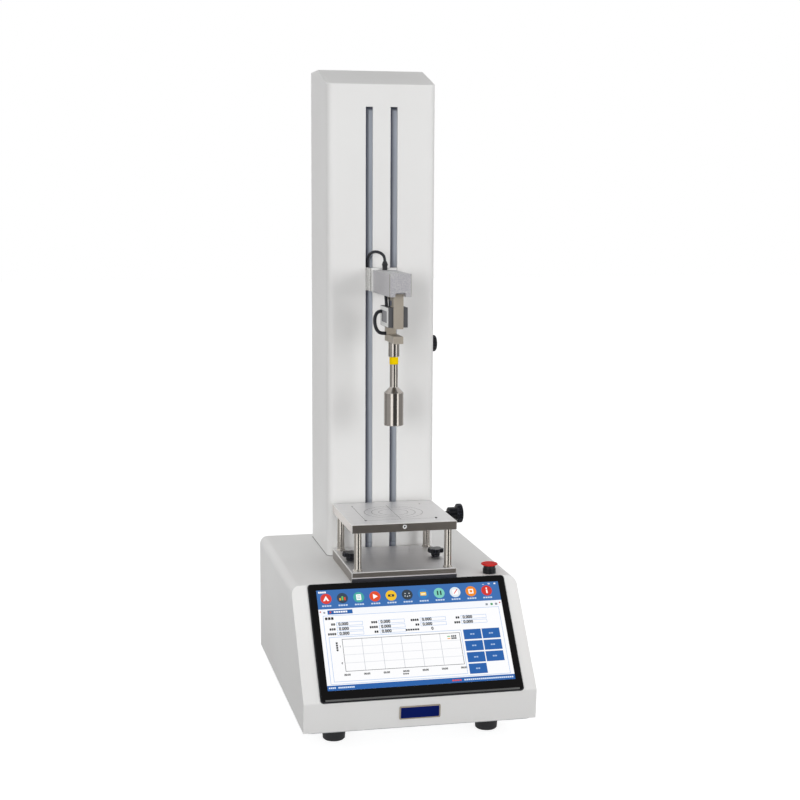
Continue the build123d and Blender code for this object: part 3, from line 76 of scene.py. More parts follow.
def group_of(name, inputs, outputs):
    """An empty shader group with its named inputs and outputs, and its two end nodes."""
    group = bpy.data.node_groups.new(name, "ShaderNodeTree")
    for label, kind, value in inputs:
        group.interface.new_socket(label, in_out="INPUT", socket_type=kind).default_value = value
    for label, kind in outputs:
        group.interface.new_socket(label, in_out="OUTPUT", socket_type=kind)
    return group, group.nodes.new("NodeGroupInput"), group.nodes.new("NodeGroupOutput")


def part_of(tree, kind, **values):
    """A node of one kind, with plain values put on the inputs that are named."""
    node = tree.nodes.new(kind)
    for label, value in values.items():
        node.inputs[label.replace("_", " ")].default_value = value
    return node


def feed(tree, source, target):
    """Links a socket to a target, or puts a plain value on it."""
    if isinstance(source, bpy.types.NodeSocket):
        tree.links.new(source, target)
    else:
        target.default_value = source


def math_of(tree, operation, *sources):
    """One sum, product or other step on sockets and plain numbers."""
    node = tree.nodes.new("ShaderNodeMath")
    node.operation = operation
    for source, target in zip(sources, node.inputs):
        feed(tree, source, target)
    return node.outputs[0]


def ramp_of(tree, source, low, high, to_low=0.0, to_high=1.0):
    """A value carried from the range low to high into the range to_low to to_high."""
    node = part_of(tree, "ShaderNodeMapRange", From_Min=low, From_Max=high)
    feed(tree, to_low, node.inputs["To Min"])
    feed(tree, to_high, node.inputs["To Max"])
    tree.links.new(source, node.inputs["Value"])
    return node.outputs["Result"]


def mix_of(tree, factor, first, second, blend="MIX"):
    """Two colours mixed, or blended in another way, by a factor."""
    node = tree.nodes.new("ShaderNodeMix")
    node.data_type = "RGBA"
    node.blend_type = blend
    for source, target in ((factor, 0), (first, 6), (second, 7)):
        feed(tree, source, node.inputs[target])
    return node.outputs[2]


def grain_group(name):
    """Noise on stretched object coordinates: a broad one mixes the two colours, and a
    fine one gives the height and moves the roughness between its two limits."""
    group, start, end = group_of(
        name,
        [("Colour", "NodeSocketColor", (0.8, 0.8, 0.8, 1)),
         ("Shade", "NodeSocketColor", (0.7, 0.7, 0.7, 1)),
         ("Stretch", "NodeSocketVector", (1, 1, 1)), ("Patch", "NodeSocketFloat", 20.0),
         ("Grain", "NodeSocketFloat", 1500.0), ("Smooth", "NodeSocketFloat", 0.4),
         ("Rough", "NodeSocketFloat", 0.5)],
        [("Colour", "NodeSocketColor"), ("Roughness", "NodeSocketFloat"), ("Height", "NodeSocketFloat")])
    place = group.nodes.new("ShaderNodeTexCoord").outputs["Object"]
    stretch = group.nodes.new("ShaderNodeVectorMath")
    stretch.operation = "MULTIPLY"
    group.links.new(place, stretch.inputs[0])
    group.links.new(start.outputs["Stretch"], stretch.inputs[1])
    fields = []
    for label, detail in (("Patch", 3.0), ("Grain", 4.0)):
        noise = part_of(group, "ShaderNodeTexNoise", Detail=detail)
        group.links.new(stretch.outputs[0], noise.inputs["Vector"])
        group.links.new(start.outputs[label], noise.inputs["Scale"])
        fields.append(noise.outputs["Fac"])
    broad = ramp_of(group, fields[0], 0.32, 0.68)
    amount = ramp_of(group, math_of(group, "MULTIPLY_ADD", fields[1], 0.5, broad), 0.1, 1.3)
    group.links.new(mix_of(group, amount, start.outputs["Colour"], start.outputs["Shade"]),
                    end.inputs["Colour"])
    group.links.new(ramp_of(group, fields[1], 0.3, 0.7, start.outputs["Smooth"], start.outputs["Rough"]),
                    end.inputs["Roughness"])
    group.links.new(fields[1], end.inputs["Height"])
    return group


def edge_group(name):
    """The normal rounded over edges, and a second colour where it leaves the true one: a painted highlight
    along the edges, which is a painted shade on the few pieces whose edge colour is darker.
    """
    group, start, end = group_of(
        name,
        [("Colour", "NodeSocketColor", (0.8, 0.8, 0.8, 1)),
         ("Edge", "NodeSocketColor", (0.9, 0.9, 0.9, 1)), ("Radius", "NodeSocketFloat", 0.0004)],
        [("Colour", "NodeSocketColor"), ("Normal", "NodeSocketVector")])
    rounded = group.nodes.new("ShaderNodeBevel")
    rounded.samples = 6
    group.links.new(start.outputs["Radius"], rounded.inputs["Radius"])
    flat = group.nodes.new("ShaderNodeNewGeometry").outputs["Normal"]
    turn = group.nodes.new("ShaderNodeVectorMath")
    turn.operation = "DOT_PRODUCT"
    group.links.new(rounded.outputs["Normal"], turn.inputs[0])
    group.links.new(flat, turn.inputs[1])
    mask = ramp_of(group, turn.outputs["Value"], 0.995, 0.86)
    group.links.new(mix_of(group, mask, start.outputs["Colour"], start.outputs["Edge"]),
                    end.inputs["Colour"])
    group.links.new(rounded.outputs["Normal"], end.inputs["Normal"])
    return group


def face_group(name):
    """Three colours by how a face lies in the piece's own frame: painted light and shade by face. Upright
    faces take the second one, a painted tone for the light they catch, and are smoother. Cut corners,
    where two parts of the normal are alike, take the third one, a painted line along each chamfer, bright
    on some pieces and dark on others, and are dull."""
    group, start, end = group_of(
        name,
        [("Colour", "NodeSocketColor", (0.8, 0.8, 0.8, 1)),
         ("Upright", "NodeSocketColor", (0.7, 0.7, 0.7, 1)),
         ("Cut", "NodeSocketColor", (0.9, 0.9, 0.9, 1)),
         ("Roughness", "NodeSocketFloat", 0.4), ("Metal", "NodeSocketFloat", 1.0)],
        [("Colour", "NodeSocketColor"), ("Roughness", "NodeSocketFloat"), ("Metallic", "NodeSocketFloat")])
    parts = group.nodes.new("ShaderNodeSeparateXYZ")
    group.links.new(group.nodes.new("ShaderNodeTexCoord").outputs["Normal"], parts.inputs[0])
    sizes = [math_of(group, "ABSOLUTE", parts.outputs[axis]) for axis in "XYZ"]
    pairs = [math_of(group, "MULTIPLY", sizes[first], sizes[second])
             for first, second in ((0, 1), (1, 2), (0, 2))]
    total = math_of(group, "ADD", math_of(group, "ADD", pairs[0], pairs[1]), pairs[2])
    upright = ramp_of(group, sizes[2], 0.3, 0.1)
    cut = ramp_of(group, total, 0.2, 0.4)
    tinted = mix_of(group, 1.0, start.outputs["Colour"], start.outputs["Upright"], "MULTIPLY")
    flat = mix_of(group, upright, start.outputs["Colour"], tinted)
    group.links.new(mix_of(group, cut, flat, start.outputs["Cut"]), end.inputs["Colour"])
    for source, reach, whole, label in ((upright, 0.3, "Roughness", "Roughness"),
                                        (cut, 0.9, "Metal", "Metallic")):
        less = math_of(group, "MULTIPLY_ADD", source, -reach, 1.0)
        group.links.new(math_of(group, "MULTIPLY", less, start.outputs[whole]), end.inputs[label])
    return group


def slit_group(name):
    """A painted shadow on a strip behind its slot, as the amount of dark: a soft band left of each slot's
    middle, which repeats at the slots' pitch, or a ramp up to the slots' head, whichever is more."""
    group, start, end = group_of(name, [], [("Mask", "NodeSocketFloat")])
    parts = group.nodes.new("ShaderNodeSeparateXYZ")
    group.links.new(group.nodes.new("ShaderNodeTexCoord").outputs["Object"], parts.inputs[0])
    slot_pitch, strip_edge = 0.0314, 0.0237
    across = math_of(group, "MODULO", math_of(group, "ADD", parts.outputs["X"], strip_edge), slot_pitch)
    band = math_of(group, "MULTIPLY", ramp_of(group, across, 0.0035, 0.005),
                   ramp_of(group, across, 0.0066, 0.0102, 1.0, 0.0))
    head = ramp_of(group, parts.outputs["Z"], 0.7375, 0.7405)
    group.links.new(math_of(group, "MAXIMUM", band, head), end.inputs["Mask"])
    return group


GRAIN = grain_group("surface grain")
EDGE = edge_group("painted edge light")
FACE_LIGHT = face_group("painted face light")
SLOT_SHADOW = slit_group("painted slot shadow")


def placed(tree, group, **values):
    """A shader group set in a material, with the material's own values."""
    node = tree.nodes.new("ShaderNodeGroup")
    node.node_tree = group
    for label, value in values.items():
        node.inputs[label].default_value = value
    return node


def finish_of(name, colour, shade, smooth, rough, edge=None, metal=0.0, stretch=(1, 1, 1), patch=20.0,
              grain=1500.0, height=0.00002, radius=0.0004, upright=None, cut=None, dark=None, **sockets):
    """A surface from the grain and edge groups. Height is the grain's depth in metres. A machined piece
    names the colours painted on its upright faces and on its cut corners, painted light and shade by face,
    and the strips name the colour of the shadow painted on them behind the slots."""
    material = bpy.data.materials.new(name)
    material.use_nodes = True
    tree = material.node_tree
    surface = tree.nodes["Principled BSDF"]
    surface.inputs["Metallic"].default_value = metal
    for label, value in sockets.items():
        surface.inputs[label.replace("_", " ")].default_value = value
    grains = placed(tree, GRAIN, Colour=linear(colour), Shade=linear(shade), Stretch=stretch, Patch=patch,
                    Grain=grain, Smooth=smooth, Rough=rough)
    # The edge colour is painted light: a highlight along rounded edges, and a painted shade where it is
    # darker than the face.
    edges = placed(tree, EDGE, Edge=linear(edge or colour), Radius=radius)
    bump = part_of(tree, "ShaderNodeBump", Strength=1.0, Distance=height)
    coloured = grains.outputs["Colour"]
    roughness = grains.outputs["Roughness"]
    # Machined pieces: upright faces and cut corners get colours of their own, painted light and shade by
    # face.
    if cut:
        faces = placed(tree, FACE_LIGHT, Upright=linear(upright or colour), Cut=linear(cut), Metal=metal)
        tree.links.new(coloured, faces.inputs["Colour"])
        tree.links.new(roughness, faces.inputs["Roughness"])
        tree.links.new(faces.outputs["Metallic"], surface.inputs["Metallic"])
        coloured = faces.outputs["Colour"]
        roughness = faces.outputs["Roughness"]
    # Strips: a painted shadow, dark along the left part of each slot and under the slots' head.
    if dark:
        mask = placed(tree, SLOT_SHADOW).outputs["Mask"]
        coloured = mix_of(tree, mask, coloured, linear(dark))
    tree.links.new(coloured, edges.inputs["Colour"])
    tree.links.new(edges.outputs["Colour"], surface.inputs["Base Color"])
    tree.links.new(roughness, surface.inputs["Roughness"])
    tree.links.new(grains.outputs["Height"], bump.inputs["Height"])
    tree.links.new(edges.outputs["Normal"], bump.inputs["Normal"])
    tree.links.new(bump.outputs["Normal"], surface.inputs["Normal"])
    return material


def dress(material, *nodes):
    """Puts a material on CAD nodes."""
    for node in nodes:
        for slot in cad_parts[node].material_slots:
            slot.material = material


def settle(piece, material, body):
    """Gives a new piece its material and its body."""
    piece.data.materials.append(material)
    bpy.context.scene.collection.objects.link(piece)
    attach(piece, body)
    return piece


def cable(name, route, radius):
    """A round tube on the NURBS line of its route, which is given in millimetres."""
    line = bpy.data.curves.new(name, "CURVE")
    line.dimensions = "3D"
    spline = line.splines.new("NURBS")
    spline.points.add(len(route) - 1)
    for point, place in zip(spline.points, route):
        point.co = (*(Vector(place) / 1000), 1.0)
    spline.order_u = 3
    spline.use_endpoint_u = True
    spline.resolution_u = 10
    line.bevel_depth = radius / 1000
    line.bevel_resolution = 5
    line.use_fill_caps = True
    return bpy.data.objects.new(name, line)


rubber_jacket = finish_of("cable_rubber", "#14161b", "#1d2028", 0.38, 0.52, edge="#23262e", grain=2500.0)
BOOT_TOP = 553.0
cable_line = cable("carriage_cable_line", [
    (0, 24, BOOT_TOP - 2), (0, 24, BOOT_TOP + 5), (-4, 27, BOOT_TOP + 10), (-10.5, 33, BOOT_TOP + 12),
    (-15.5, 41, BOOT_TOP + 9), (-17, 48, BOOT_TOP + 2.5), (-17, 51, BOOT_TOP - 3.5), (-17, 51, 544)], 1.8)
settle(cable_line, rubber_jacket, "carriage")
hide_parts("carriage_cable")
cell_lines = [
    cable("cell_lead_thick",
          [(-9, -28, 501), (-9, -28, 504.5), (-9, -24.5, 511), (-9, -24.5, 514.5)], 2.0),
    cable("cell_lead_thin", [(-9, -44, 501), (-9, -44, 505), (-9, -43, 510.5), (-9, -43, 514.5)], 1.0),
    cable("cell_lead_loop", [
        (-12, -14, 494), (-17, -14, 494), (-20.5, -14, 487), (-20.5, -13.5, 479), (-18, -13, 471),
        (-13, -12.5, 466.5), (-6, -12.5, 466.8)], 2.15)]
for line in cell_lines:
    settle(line, rubber_jacket, "carriage")
    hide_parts("cell_leads")

# Base housing and column covers: sheet steel, powder coated in a warm near-white
# with a very fine orange-peel texture. The rear cover is screwed on.
coat_white = finish_of("powder_coat", "#ebebea", "#e6e5e4", 0.5, 0.62, edge="#f2f2f1", patch=6.0,
                       grain=1300.0, height=0.00003, radius=0.0006, Specular_IOR_Level=0.25)
dress(coat_white, "base_housing", "column_cover", "rear_cover")

# Base plate and screws: a zinc-plated steel floor whose rim shows under the
# skirt, turned rubber feet with moulded grain, and plated pan-head screws.
zinc = finish_of("zinc_plate", "#b9bbbc", "#a4a6a8", 0.32, 0.5, edge="#d5d7d8", metal=0.85, patch=90.0,
                 grain=900.0, height=0.00001)
foot_rubber = finish_of("foot_rubber", "#101115", "#17181c", 0.6, 0.78, edge="#202126", grain=1800.0,
                        height=0.00005, radius=0.0008)
screw_plated = finish_of("screw_plated", "#c3c4c6", "#adaeb1", 0.22, 0.36, edge="#e4e5e6", metal=1.0,
                         grain=2600.0)
dress(zinc, "base_plate")
dress(foot_rubber, "rubber_feet")
dress(screw_plated, "foot_screws", "cover_screws", "spacer_pads")

# Display: a black frame set in the sloped front with one sheet of black-edged
# touch glass over it, and the lit panel under the glass.
SLOPE_FOOT = np.array([0.0, -188.0, 62.5])
SLOPE_LEAN = atan2(114.5, 92.5)
LIT_X = 2.4
LIT_START = 13.2
LIT_W, LIT_H = 222.7, 125.3
GLASS_OUT = 2.5
LAYER = 0.03

frame_black = finish_of("frame_black", "#101215", "#16181b", 0.3, 0.42, edge="#2a2d31", grain=2200.0)
glass_black = finish_of("touch_glass", "#0c0b0c", "#100f10", 0.05, 0.09, edge="#4a4e55", patch=3.0,
                        grain=300.0, height=0.000001, radius=0.0007, Specular_IOR_Level=0.28)
lcd_case = finish_of("lcd_case", "#9a9da0", "#85888b", 0.35, 0.5, metal=0.8, grain=1200.0)
dress(frame_black, "display_frame")
dress(glass_black, "touch_glass")
dress(lcd_case, "lcd_module")


def on_slope(across, up, out):
    """Millimetres across, up and out of the slope's plane, as rows of x, y, z in metres."""
    across, up, out = np.broadcast_arrays(np.asarray(across, float), up, out)
    y = SLOPE_FOOT[1] + up * cos(SLOPE_LEAN) - out * sin(SLOPE_LEAN)
    z = SLOPE_FOOT[2] + up * sin(SLOPE_LEAN) + out * cos(SLOPE_LEAN)
    return np.stack([across, y, z], axis=-1) / 1000


def mesh_of(name, points, faces):
    """A mesh object from rows of points in metres and lists of point numbers."""
    mesh = bpy.data.meshes.new(name)
    mesh.from_pydata(np.asarray(points).tolist(), [], [tuple(map(int, face)) for face in faces])
    mesh.validate()
    mesh.update()
    return bpy.data.objects.new(name, mesh)


BOX_FACES = [(3, 2, 1, 0), (4, 5, 6, 7), (0, 1, 5, 4), (1, 2, 6, 5), (2, 3, 7, 6), (3, 0, 4, 7)]
FOUR_SIDES = ((0, 1), (1, 2), (2, 3), (3, 0))


def bands(step, after, count, pairs):
    """Four-sided faces between rows of count points each. Each pair names the two rows that
    a band joins, and step and after are the points at a face's two ends in its row."""
    return np.concatenate([
        np.stack([step + a * count, after + a * count, after + b * count, step + b * count], axis=1)
        for a, b in pairs])


ink = {}


def lay(colour, outline, layer):
    """Adds a thin closed tile to one colour of the screen. The outline runs anticlockwise
    in millimetres from the lit area's lower left corner; its top is one layer higher."""
    outline = np.asarray(outline, float)
    count = len(outline)
    low = GLASS_OUT + LAYER / 2 + LAYER * layer
    tops = on_slope(LIT_X - LIT_W / 2 + outline[:, 0], LIT_START + outline[:, 1], low + LAYER)
    bottoms = on_slope(LIT_X - LIT_W / 2 + outline[:, 0], LIT_START + outline[:, 1], low)
    points, faces = ink.setdefault(colour, ([], []))
    first = sum(len(block) for block in points)
    ring = np.arange(count)
    after = (ring + 1) % count
    points.append(np.concatenate([tops, bottoms]))
    faces.append(first + ring)
    faces.append(first + count + ring[::-1])
    faces.extend(first + np.stack([ring, ring + count, after + count, after], axis=1))


def tile(colour, left, low, right_edge, high, layer, corner=0.0):
    """A rectangle with rounded corners: quarter circles joined by straight sides."""
    if corner <= 0:
        lay(colour, [(left, low), (right_edge, low), (right_edge, high), (left, high)], layer)
        return
    angles = np.linspace(0, pi / 2, 5)
    corners = []
    for i, (x, y) in enumerate(((right_edge - corner, high - corner), (left + corner, high - corner),
                                (left + corner, low + corner), (right_edge - corner, low + corner))):
        around = angles + i * pi / 2
        corners.append(np.stack([x + corner * np.cos(around), y + corner * np.sin(around)], axis=1))
    lay(colour, np.concatenate(corners), layer)


def disc(colour, x, y, radius, layer, count=28):
    """A round tile."""
    around = np.linspace(0, 2 * pi, count, endpoint=False)
    lay(colour, np.stack([x + radius * np.cos(around), y + radius * np.sin(around)], axis=1), layer)


def box_line(colour, left, low, right_edge, high, width, layer):
    """The four thin sides of a rectangle."""
    for sides in ((left, low, right_edge, low + width), (left, high - width, right_edge, high),
                  (left, low + width, left + width, high - width),
                  (right_edge - width, low + width, right_edge, high - width)):
        tile(colour, *sides, layer)


def word(colour, left, low, right_edge, high, blocks, layer):
    """A bar broken into blocks where a word would stand."""
    step = (right_edge - left) / blocks
    for i in range(blocks):
        tile(colour, left + i * step, low, left + (i + 0.78) * step, high, layer)


def number(colour, text, x, y, height, layer):
    """Plain digits centred on a place, cut from the built-in font."""
    curve = bpy.data.curves.new("digits", "FONT")
    curve.body = text
    curve.size = height * 1.4
    curve.align_x = "CENTER"
    curve.align_y = "CENTER"
    curve.resolution_u = 2
    curve.extrude = LAYER / 2
    curve.offset = 0.055 * height
    maker = bpy.data.objects.new("digits", curve)
    mesh = bpy.data.meshes.new_from_object(maker)
    flat = np.zeros(len(mesh.vertices) * 3)
    mesh.vertices.foreach_get("co", flat)
    flat = flat.reshape(-1, 3)
    points, faces = ink.setdefault(colour, ([], []))
    first = sum(len(block) for block in points)
    points.append(on_slope(LIT_X - LIT_W / 2 + x + flat[:, 0], LIT_START + y + flat[:, 1],
                           GLASS_OUT + LAYER + LAYER * layer + flat[:, 2]))
    faces.extend(first + np.array(polygon.vertices) for polygon in mesh.polygons)
    bpy.data.objects.remove(maker)
    bpy.data.curves.remove(curve)
    bpy.data.meshes.remove(mesh)


# A thin grey bar lying on the glass along its lower edge: a painted highlight where the glass edge catches
# the light.
glass_highlight_grey = finish_of("glass_edge_highlight", "#5e5f5e", "#525352", 0.3, 0.42, grain=2000.0)
highlight_up, highlight_out = np.array([(0.5, GLASS_OUT), (2.7, GLASS_OUT), (2.7, 2.56), (0.5, 2.56)]).T
highlight_ends = [on_slope(x, highlight_up, highlight_out) for x in (-113.0, 117.0)]
highlight_bar = mesh_of("glass_edge_highlight", np.concatenate(highlight_ends), BOX_FACES)
settle(highlight_bar, glass_highlight_grey, "base")

# Seam at the column's foot: a thin grey gasket round its front and sides, drawn as a
# rounded path just outside the cover.
seam_grey = finish_of("seam_grey", "#8d8d8c", "#7f7f7e", 0.6, 0.75, grain=1800.0)
SEAM_LOW, SEAM_HIGH = 177.02, 177.75


def seam_path(grow):
    """Points along the cover's sides and round its two front corners, grown outwards."""
    around = np.linspace(0, pi / 2, 7)
    half, front, corner, back = 69.1, 44.7, 9.0, 161.0
    left = np.stack([-(half - corner) - (corner + grow) * np.cos(around),
                     front + corner - (corner + grow) * np.sin(around)], axis=1)
    right_corner = np.stack([-left[::-1, 0], left[::-1, 1]], axis=1)
    return np.concatenate([[(-half - grow, back)], left, right_corner, [(half + grow, back)]])


inner, outer = seam_path(-0.3), seam_path(0.45)
count = len(inner)
seam_points = np.concatenate([
    np.concatenate([path, np.full((count, 1), z)], axis=1) for path, z in
    ((inner, SEAM_LOW), (outer, SEAM_LOW), (outer, SEAM_HIGH), (inner, SEAM_HIGH))]) / 1000
step = np.arange(count - 1)
first_end = np.arange(4) * count
last_end = first_end[::-1] + count - 1
seam_faces = [*bands(step, step + 1, count, FOUR_SIDES), first_end, last_end]
settle(mesh_of("column_seam", seam_points, seam_faces), seam_grey, "base")

# Screen picture: a plain measuring page, with bars where words would stand and
# plain numbers. Places are millimetres from the lit area's lower left corner, and
# each tile has its layer, counted upwards from the glass.
BAR_BLUE, PAGE, LINE_BLUE, KEY_BLUE, TEXT_DARK = "#4070b0", "#f9f9fa", "#98b8e2", "#2f63a9", "#131519"
ICON_Y = 114.1
icon_x = [10.6 + 19.62 * i for i in range(11)]
tile(PAGE, 0, 0, LIT_W, LIT_H, 0)
tile(BAR_BLUE, 0, 100.9, LIT_W, LIT_H, 1)
word("#ffffff", 2.2, 121.4, 11.8, 123.6, 4, 2)
for x in (203.6, 210.8, 218.0):
    tile("#ffffff", x - 1.1, 121.9, x + 1.1, 122.4 if x < 205 else 123.6, 2)
tile(BAR_BLUE, 210.3, 122.3, 211.3, 123.1, 3)
icon_faces = ["#d8443a", "#3c4b5c", "#4aa7a0", "#e0502f", "#f2c230", "#3c4650", "#3a7fc0", "#7fcdbb",
              "#dfe8ee", "#ee8a2c", "#d23b34"]
for x, face in zip(icon_x, icon_faces):
    disc(face, x, ICON_Y, 6.6, 2, 36)
    word("#c9d8ef", x - 5.6, 104.1, x + 5.9, 105.9, 4, 2)
lay("#ffffff", [(icon_x[0] - 3.6, 111.4), (icon_x[0] + 3.6, 111.4), (icon_x[0], 117.8)], 3)
lay("#d8443a", [(icon_x[0] - 1.4, 111.2), (icon_x[0] + 1.4, 111.2), (icon_x[0], 114.0)], 4)
for dx, rise, colour in ((-2.8, 3.0, "#f2a33a"), (0.0, 5.2, "#6cc36a"), (2.8, 4.0, "#e0502f")):
    tile(colour, icon_x[1] + dx - 1.0, 111.2, icon_x[1] + dx + 1.0, 111.2 + rise, 3)
tile("#ffffff", icon_x[2] - 2.9, 110.5, icon_x[2] + 2.9, 117.8, 3, 0.6)
for row in range(3):
    tile("#4aa7a0", icon_x[2] - 1.8, 112.0 + 1.8 * row, icon_x[2] + 1.8, 112.6 + 1.8 * row, 4)
lay("#ffffff", [(icon_x[3] - 2.2, 110.9), (icon_x[3] + 3.6, ICON_Y), (icon_x[3] - 2.2, 117.3)], 3)
tile("#3a3f45", icon_x[4] - 3.8, 112.6, icon_x[4] + 3.8, 115.6, 3, 0.8)
disc("#f2c230", icon_x[4], ICON_Y, 1.0, 4, 16)
for dx, dy in ((-2.4, 1.6), (2.4, 1.6), (0, -2.2), (-2.8, -1.6), (2.8, -1.6)):
    disc("#cfd6dc", icon_x[5] + dx, ICON_Y + dy, 0.75, 3, 12)
tile("#f4c84a", icon_x[6] - 3.6, 111.8, icon_x[6] + 3.6, 116.4, 3, 0.6)
tile("#ffffff", icon_x[6] - 2.6, 113.4, icon_x[6] + 2.6, 114.4, 4)
for dx in (-1.9, 1.9):
    tile("#2f4a4a", icon_x[7] + dx - 0.9, 111.2, icon_x[7] + dx + 0.9, 117.2, 3, 0.8)
tile("#ffffff", icon_x[8] - 3.2, 110.9, icon_x[8] + 3.2, 117.3, 3, 0.5)
lay("#d8443a", [(icon_x[8] - 2.2, 112.0), (icon_x[8] - 1.0, 112.0), (icon_x[8] + 3.4, 117.4),
                (icon_x[8] + 2.4, 118.0)], 4)
tile("#ffffff", icon_x[9] - 3.0, 111.1, icon_x[9] + 3.0, 117.1, 3, 0.6)
tile("#ee8a2c", icon_x[9] - 1.6, 112.5, icon_x[9] + 1.6, 115.7, 4)
disc("#ffffff", icon_x[10], 117.0, 1.0, 3, 16)
tile("#ffffff", icon_x[10] - 0.9, 110.6, icon_x[10] + 0.9, 115.2, 3)

tile("#f3f5f9", 0, 93.4, LIT_W, 100.9, 1)
disc("#c8362f", 2.1, 97.7, 0.9, 2, 14)
disc("#c8362f", 220.3, 97.6, 0.9, 2, 14)
disc("#8d939c", 6.6, 96.6, 1.2, 2, 14)
tile(KEY_BLUE, 10.5, 94.0, 40.3, 99.2, 2)
disc("#e0502f", 13.9, 96.8, 1.1, 3, 14)
word("#ffffff", 18.0, 95.8, 34.6, 97.9, 6, 3)
for x, colour in ((203.9, "#8d939c"), (210.0, "#4c9a62"), (215.6, "#8d939c")):
    tile(colour, x - 1.4, 94.8, x + 1.4, 97.4, 2)
box_line(LINE_BLUE, 4.4, 7.4, 218.2, 92.6, 0.5, 1)
word(TEXT_DARK, 6.7, 87.3, 17.4, 90.5, 3, 1)

for column, left in enumerate((19.3, 69.6, 119.6, 169.4)):
    for row, middle in enumerate((81.3, 75.2, 69.2)):
        if column == 3 and row == 2:
            continue
        if column == 2 and row == 2:
            word(TEXT_DARK, 100.7, middle - 1.1, 117.5, middle + 1.1, 6, 1)
            number(TEXT_DARK, "0", 133.0, middle, 3.8, 1)
            continue
        box_line(LINE_BLUE, left, middle - 2.3, left + 31.4, middle + 2.3, 0.4, 1)
        blocks = 2 + (column + row) % 3
        word(TEXT_DARK, left - 1.2 - 2.5 * blocks, middle - 1.35, left - 1.2, middle + 1.35, blocks, 1)
        number(TEXT_DARK, "0.000", left + 8.2, middle, 3.8, 1)

box_line(LINE_BLUE, 8.5, 10.2, 167.1, 65.4, 0.5, 1)
box_line("#44484e", 23.5, 22.2, 164.9, 62.3, 0.55, 1)
for i in range(1, 6):
    x = 23.5 + 23.4 * i
    tile("#bdc1c7", x - 0.28, 22.8, x + 0.28, 61.7, 1)
for y in (32.6, 42.6, 52.6):
    tile("#d3d6da", 24.1, y - 0.24, 164.3, y + 0.24, 1)
for i in range(7):
    number(TEXT_DARK, "00:00", 25.0 + 23.1 * i, 18.1, 2.4, 1)
number(TEXT_DARK, "1", 20.6, 53.3, 2.3, 1)
number(TEXT_DARK, "0", 20.6, 32.6, 2.3, 1)
word(TEXT_DARK, 90.2, 14.2, 97.4, 15.7, 3, 1)
for y in (47.9, 50.8, 53.7, 56.6):
    tile(TEXT_DARK, 15.8, y, 18.0, y + 2.2, 1)
for colour, y in (("#5fb463", 57.5), ("#ee9b3a", 54.8)):
    tile(colour, 149.2, y, 152.8, y + 1.1, 1)
    word(TEXT_DARK, 154.0, y - 0.4, 160.6, y + 1.6, 3, 1)
for row, top in enumerate((65.5, 51.0, 36.6, 22.3)):
    for left in (169.5, 192.3):
        if row == 3 and left > 170:
            continue
        tile(KEY_BLUE, left, top - 12.6, left + 21.6, top, 1)
        word("#a9c0e2", left + 8.1, top - 7.1, left + 13.7, top - 5.4, 2, 2)
tile(KEY_BLUE, 0, 0, LIT_W, 6.3, 1)
word("#dce8f8", 1.6, 2.4, 10.2, 4.2, 4, 2)
word("#dce8f8", 12.6, 2.4, 32.0, 4.2, 9, 2)
word("#e8514a", 147.0, 2.2, 158.6, 4.0, 4, 2)
word("#dce8f8", 161.4, 2.2, 221.2, 4.0, 24, 2)


def screen_light(name, colour):
    """A backlit colour: most of it is given out, with the faint grid of the panel's dots."""
    material = bpy.data.materials.new(name)
    material.use_nodes = True
    tree = material.node_tree
    surface = tree.nodes["Principled BSDF"]
    surface.inputs["Emission Strength"].default_value = 0.97
    surface.inputs["Roughness"].default_value = 0.3
    surface.inputs["Specular IOR Level"].default_value = 0.1
    place = tree.nodes.new("ShaderNodeTexCoord").outputs["Object"]
    dots = part_of(tree, "ShaderNodeTexVoronoi", Scale=2200.0)
    tree.links.new(place, dots.inputs["Vector"])
    lit = np.array(linear(colour)[:3])
    for label, near, far in (("Emission Color", np.ones(3), np.array([0.93, 0.93, 0.94])),
                             ("Base Color", 0.12, 0.1)):
        ends = [(*(lit * share).tolist(), 1.0) for share in (near, far)]
        tree.links.new(mix_of(tree, dots.outputs["Distance"], *ends), surface.inputs[label])
    return material


for index, (colour, (points, faces)) in enumerate(ink.items()):
    piece = mesh_of(f"screen_colour_{index:02d}", np.concatenate(points), faces)
    settle(piece, screen_light(f"screen_{colour[1:]}", colour), "base")

# Plate on the front skirt: a bare badge of brushed aluminium with a dark blue
# enamel field, stuck to the housing.
plate_metal = finish_of("plate_metal", "#aba193", "#968b7e", 0.3, 0.45, edge="#cfc8bd", metal=0.2,
                        stretch=(0.05, 1, 1), grain=2600.0, radius=0.0003)
enamel_blue = finish_of("enamel_blue", "#06195f", "#051556", 0.3, 0.4, edge="#2b3a86", patch=30.0,
                        grain=900.0, height=0.000005, Specular_IOR_Level=0.05)
dress(plate_metal, "name_plate")


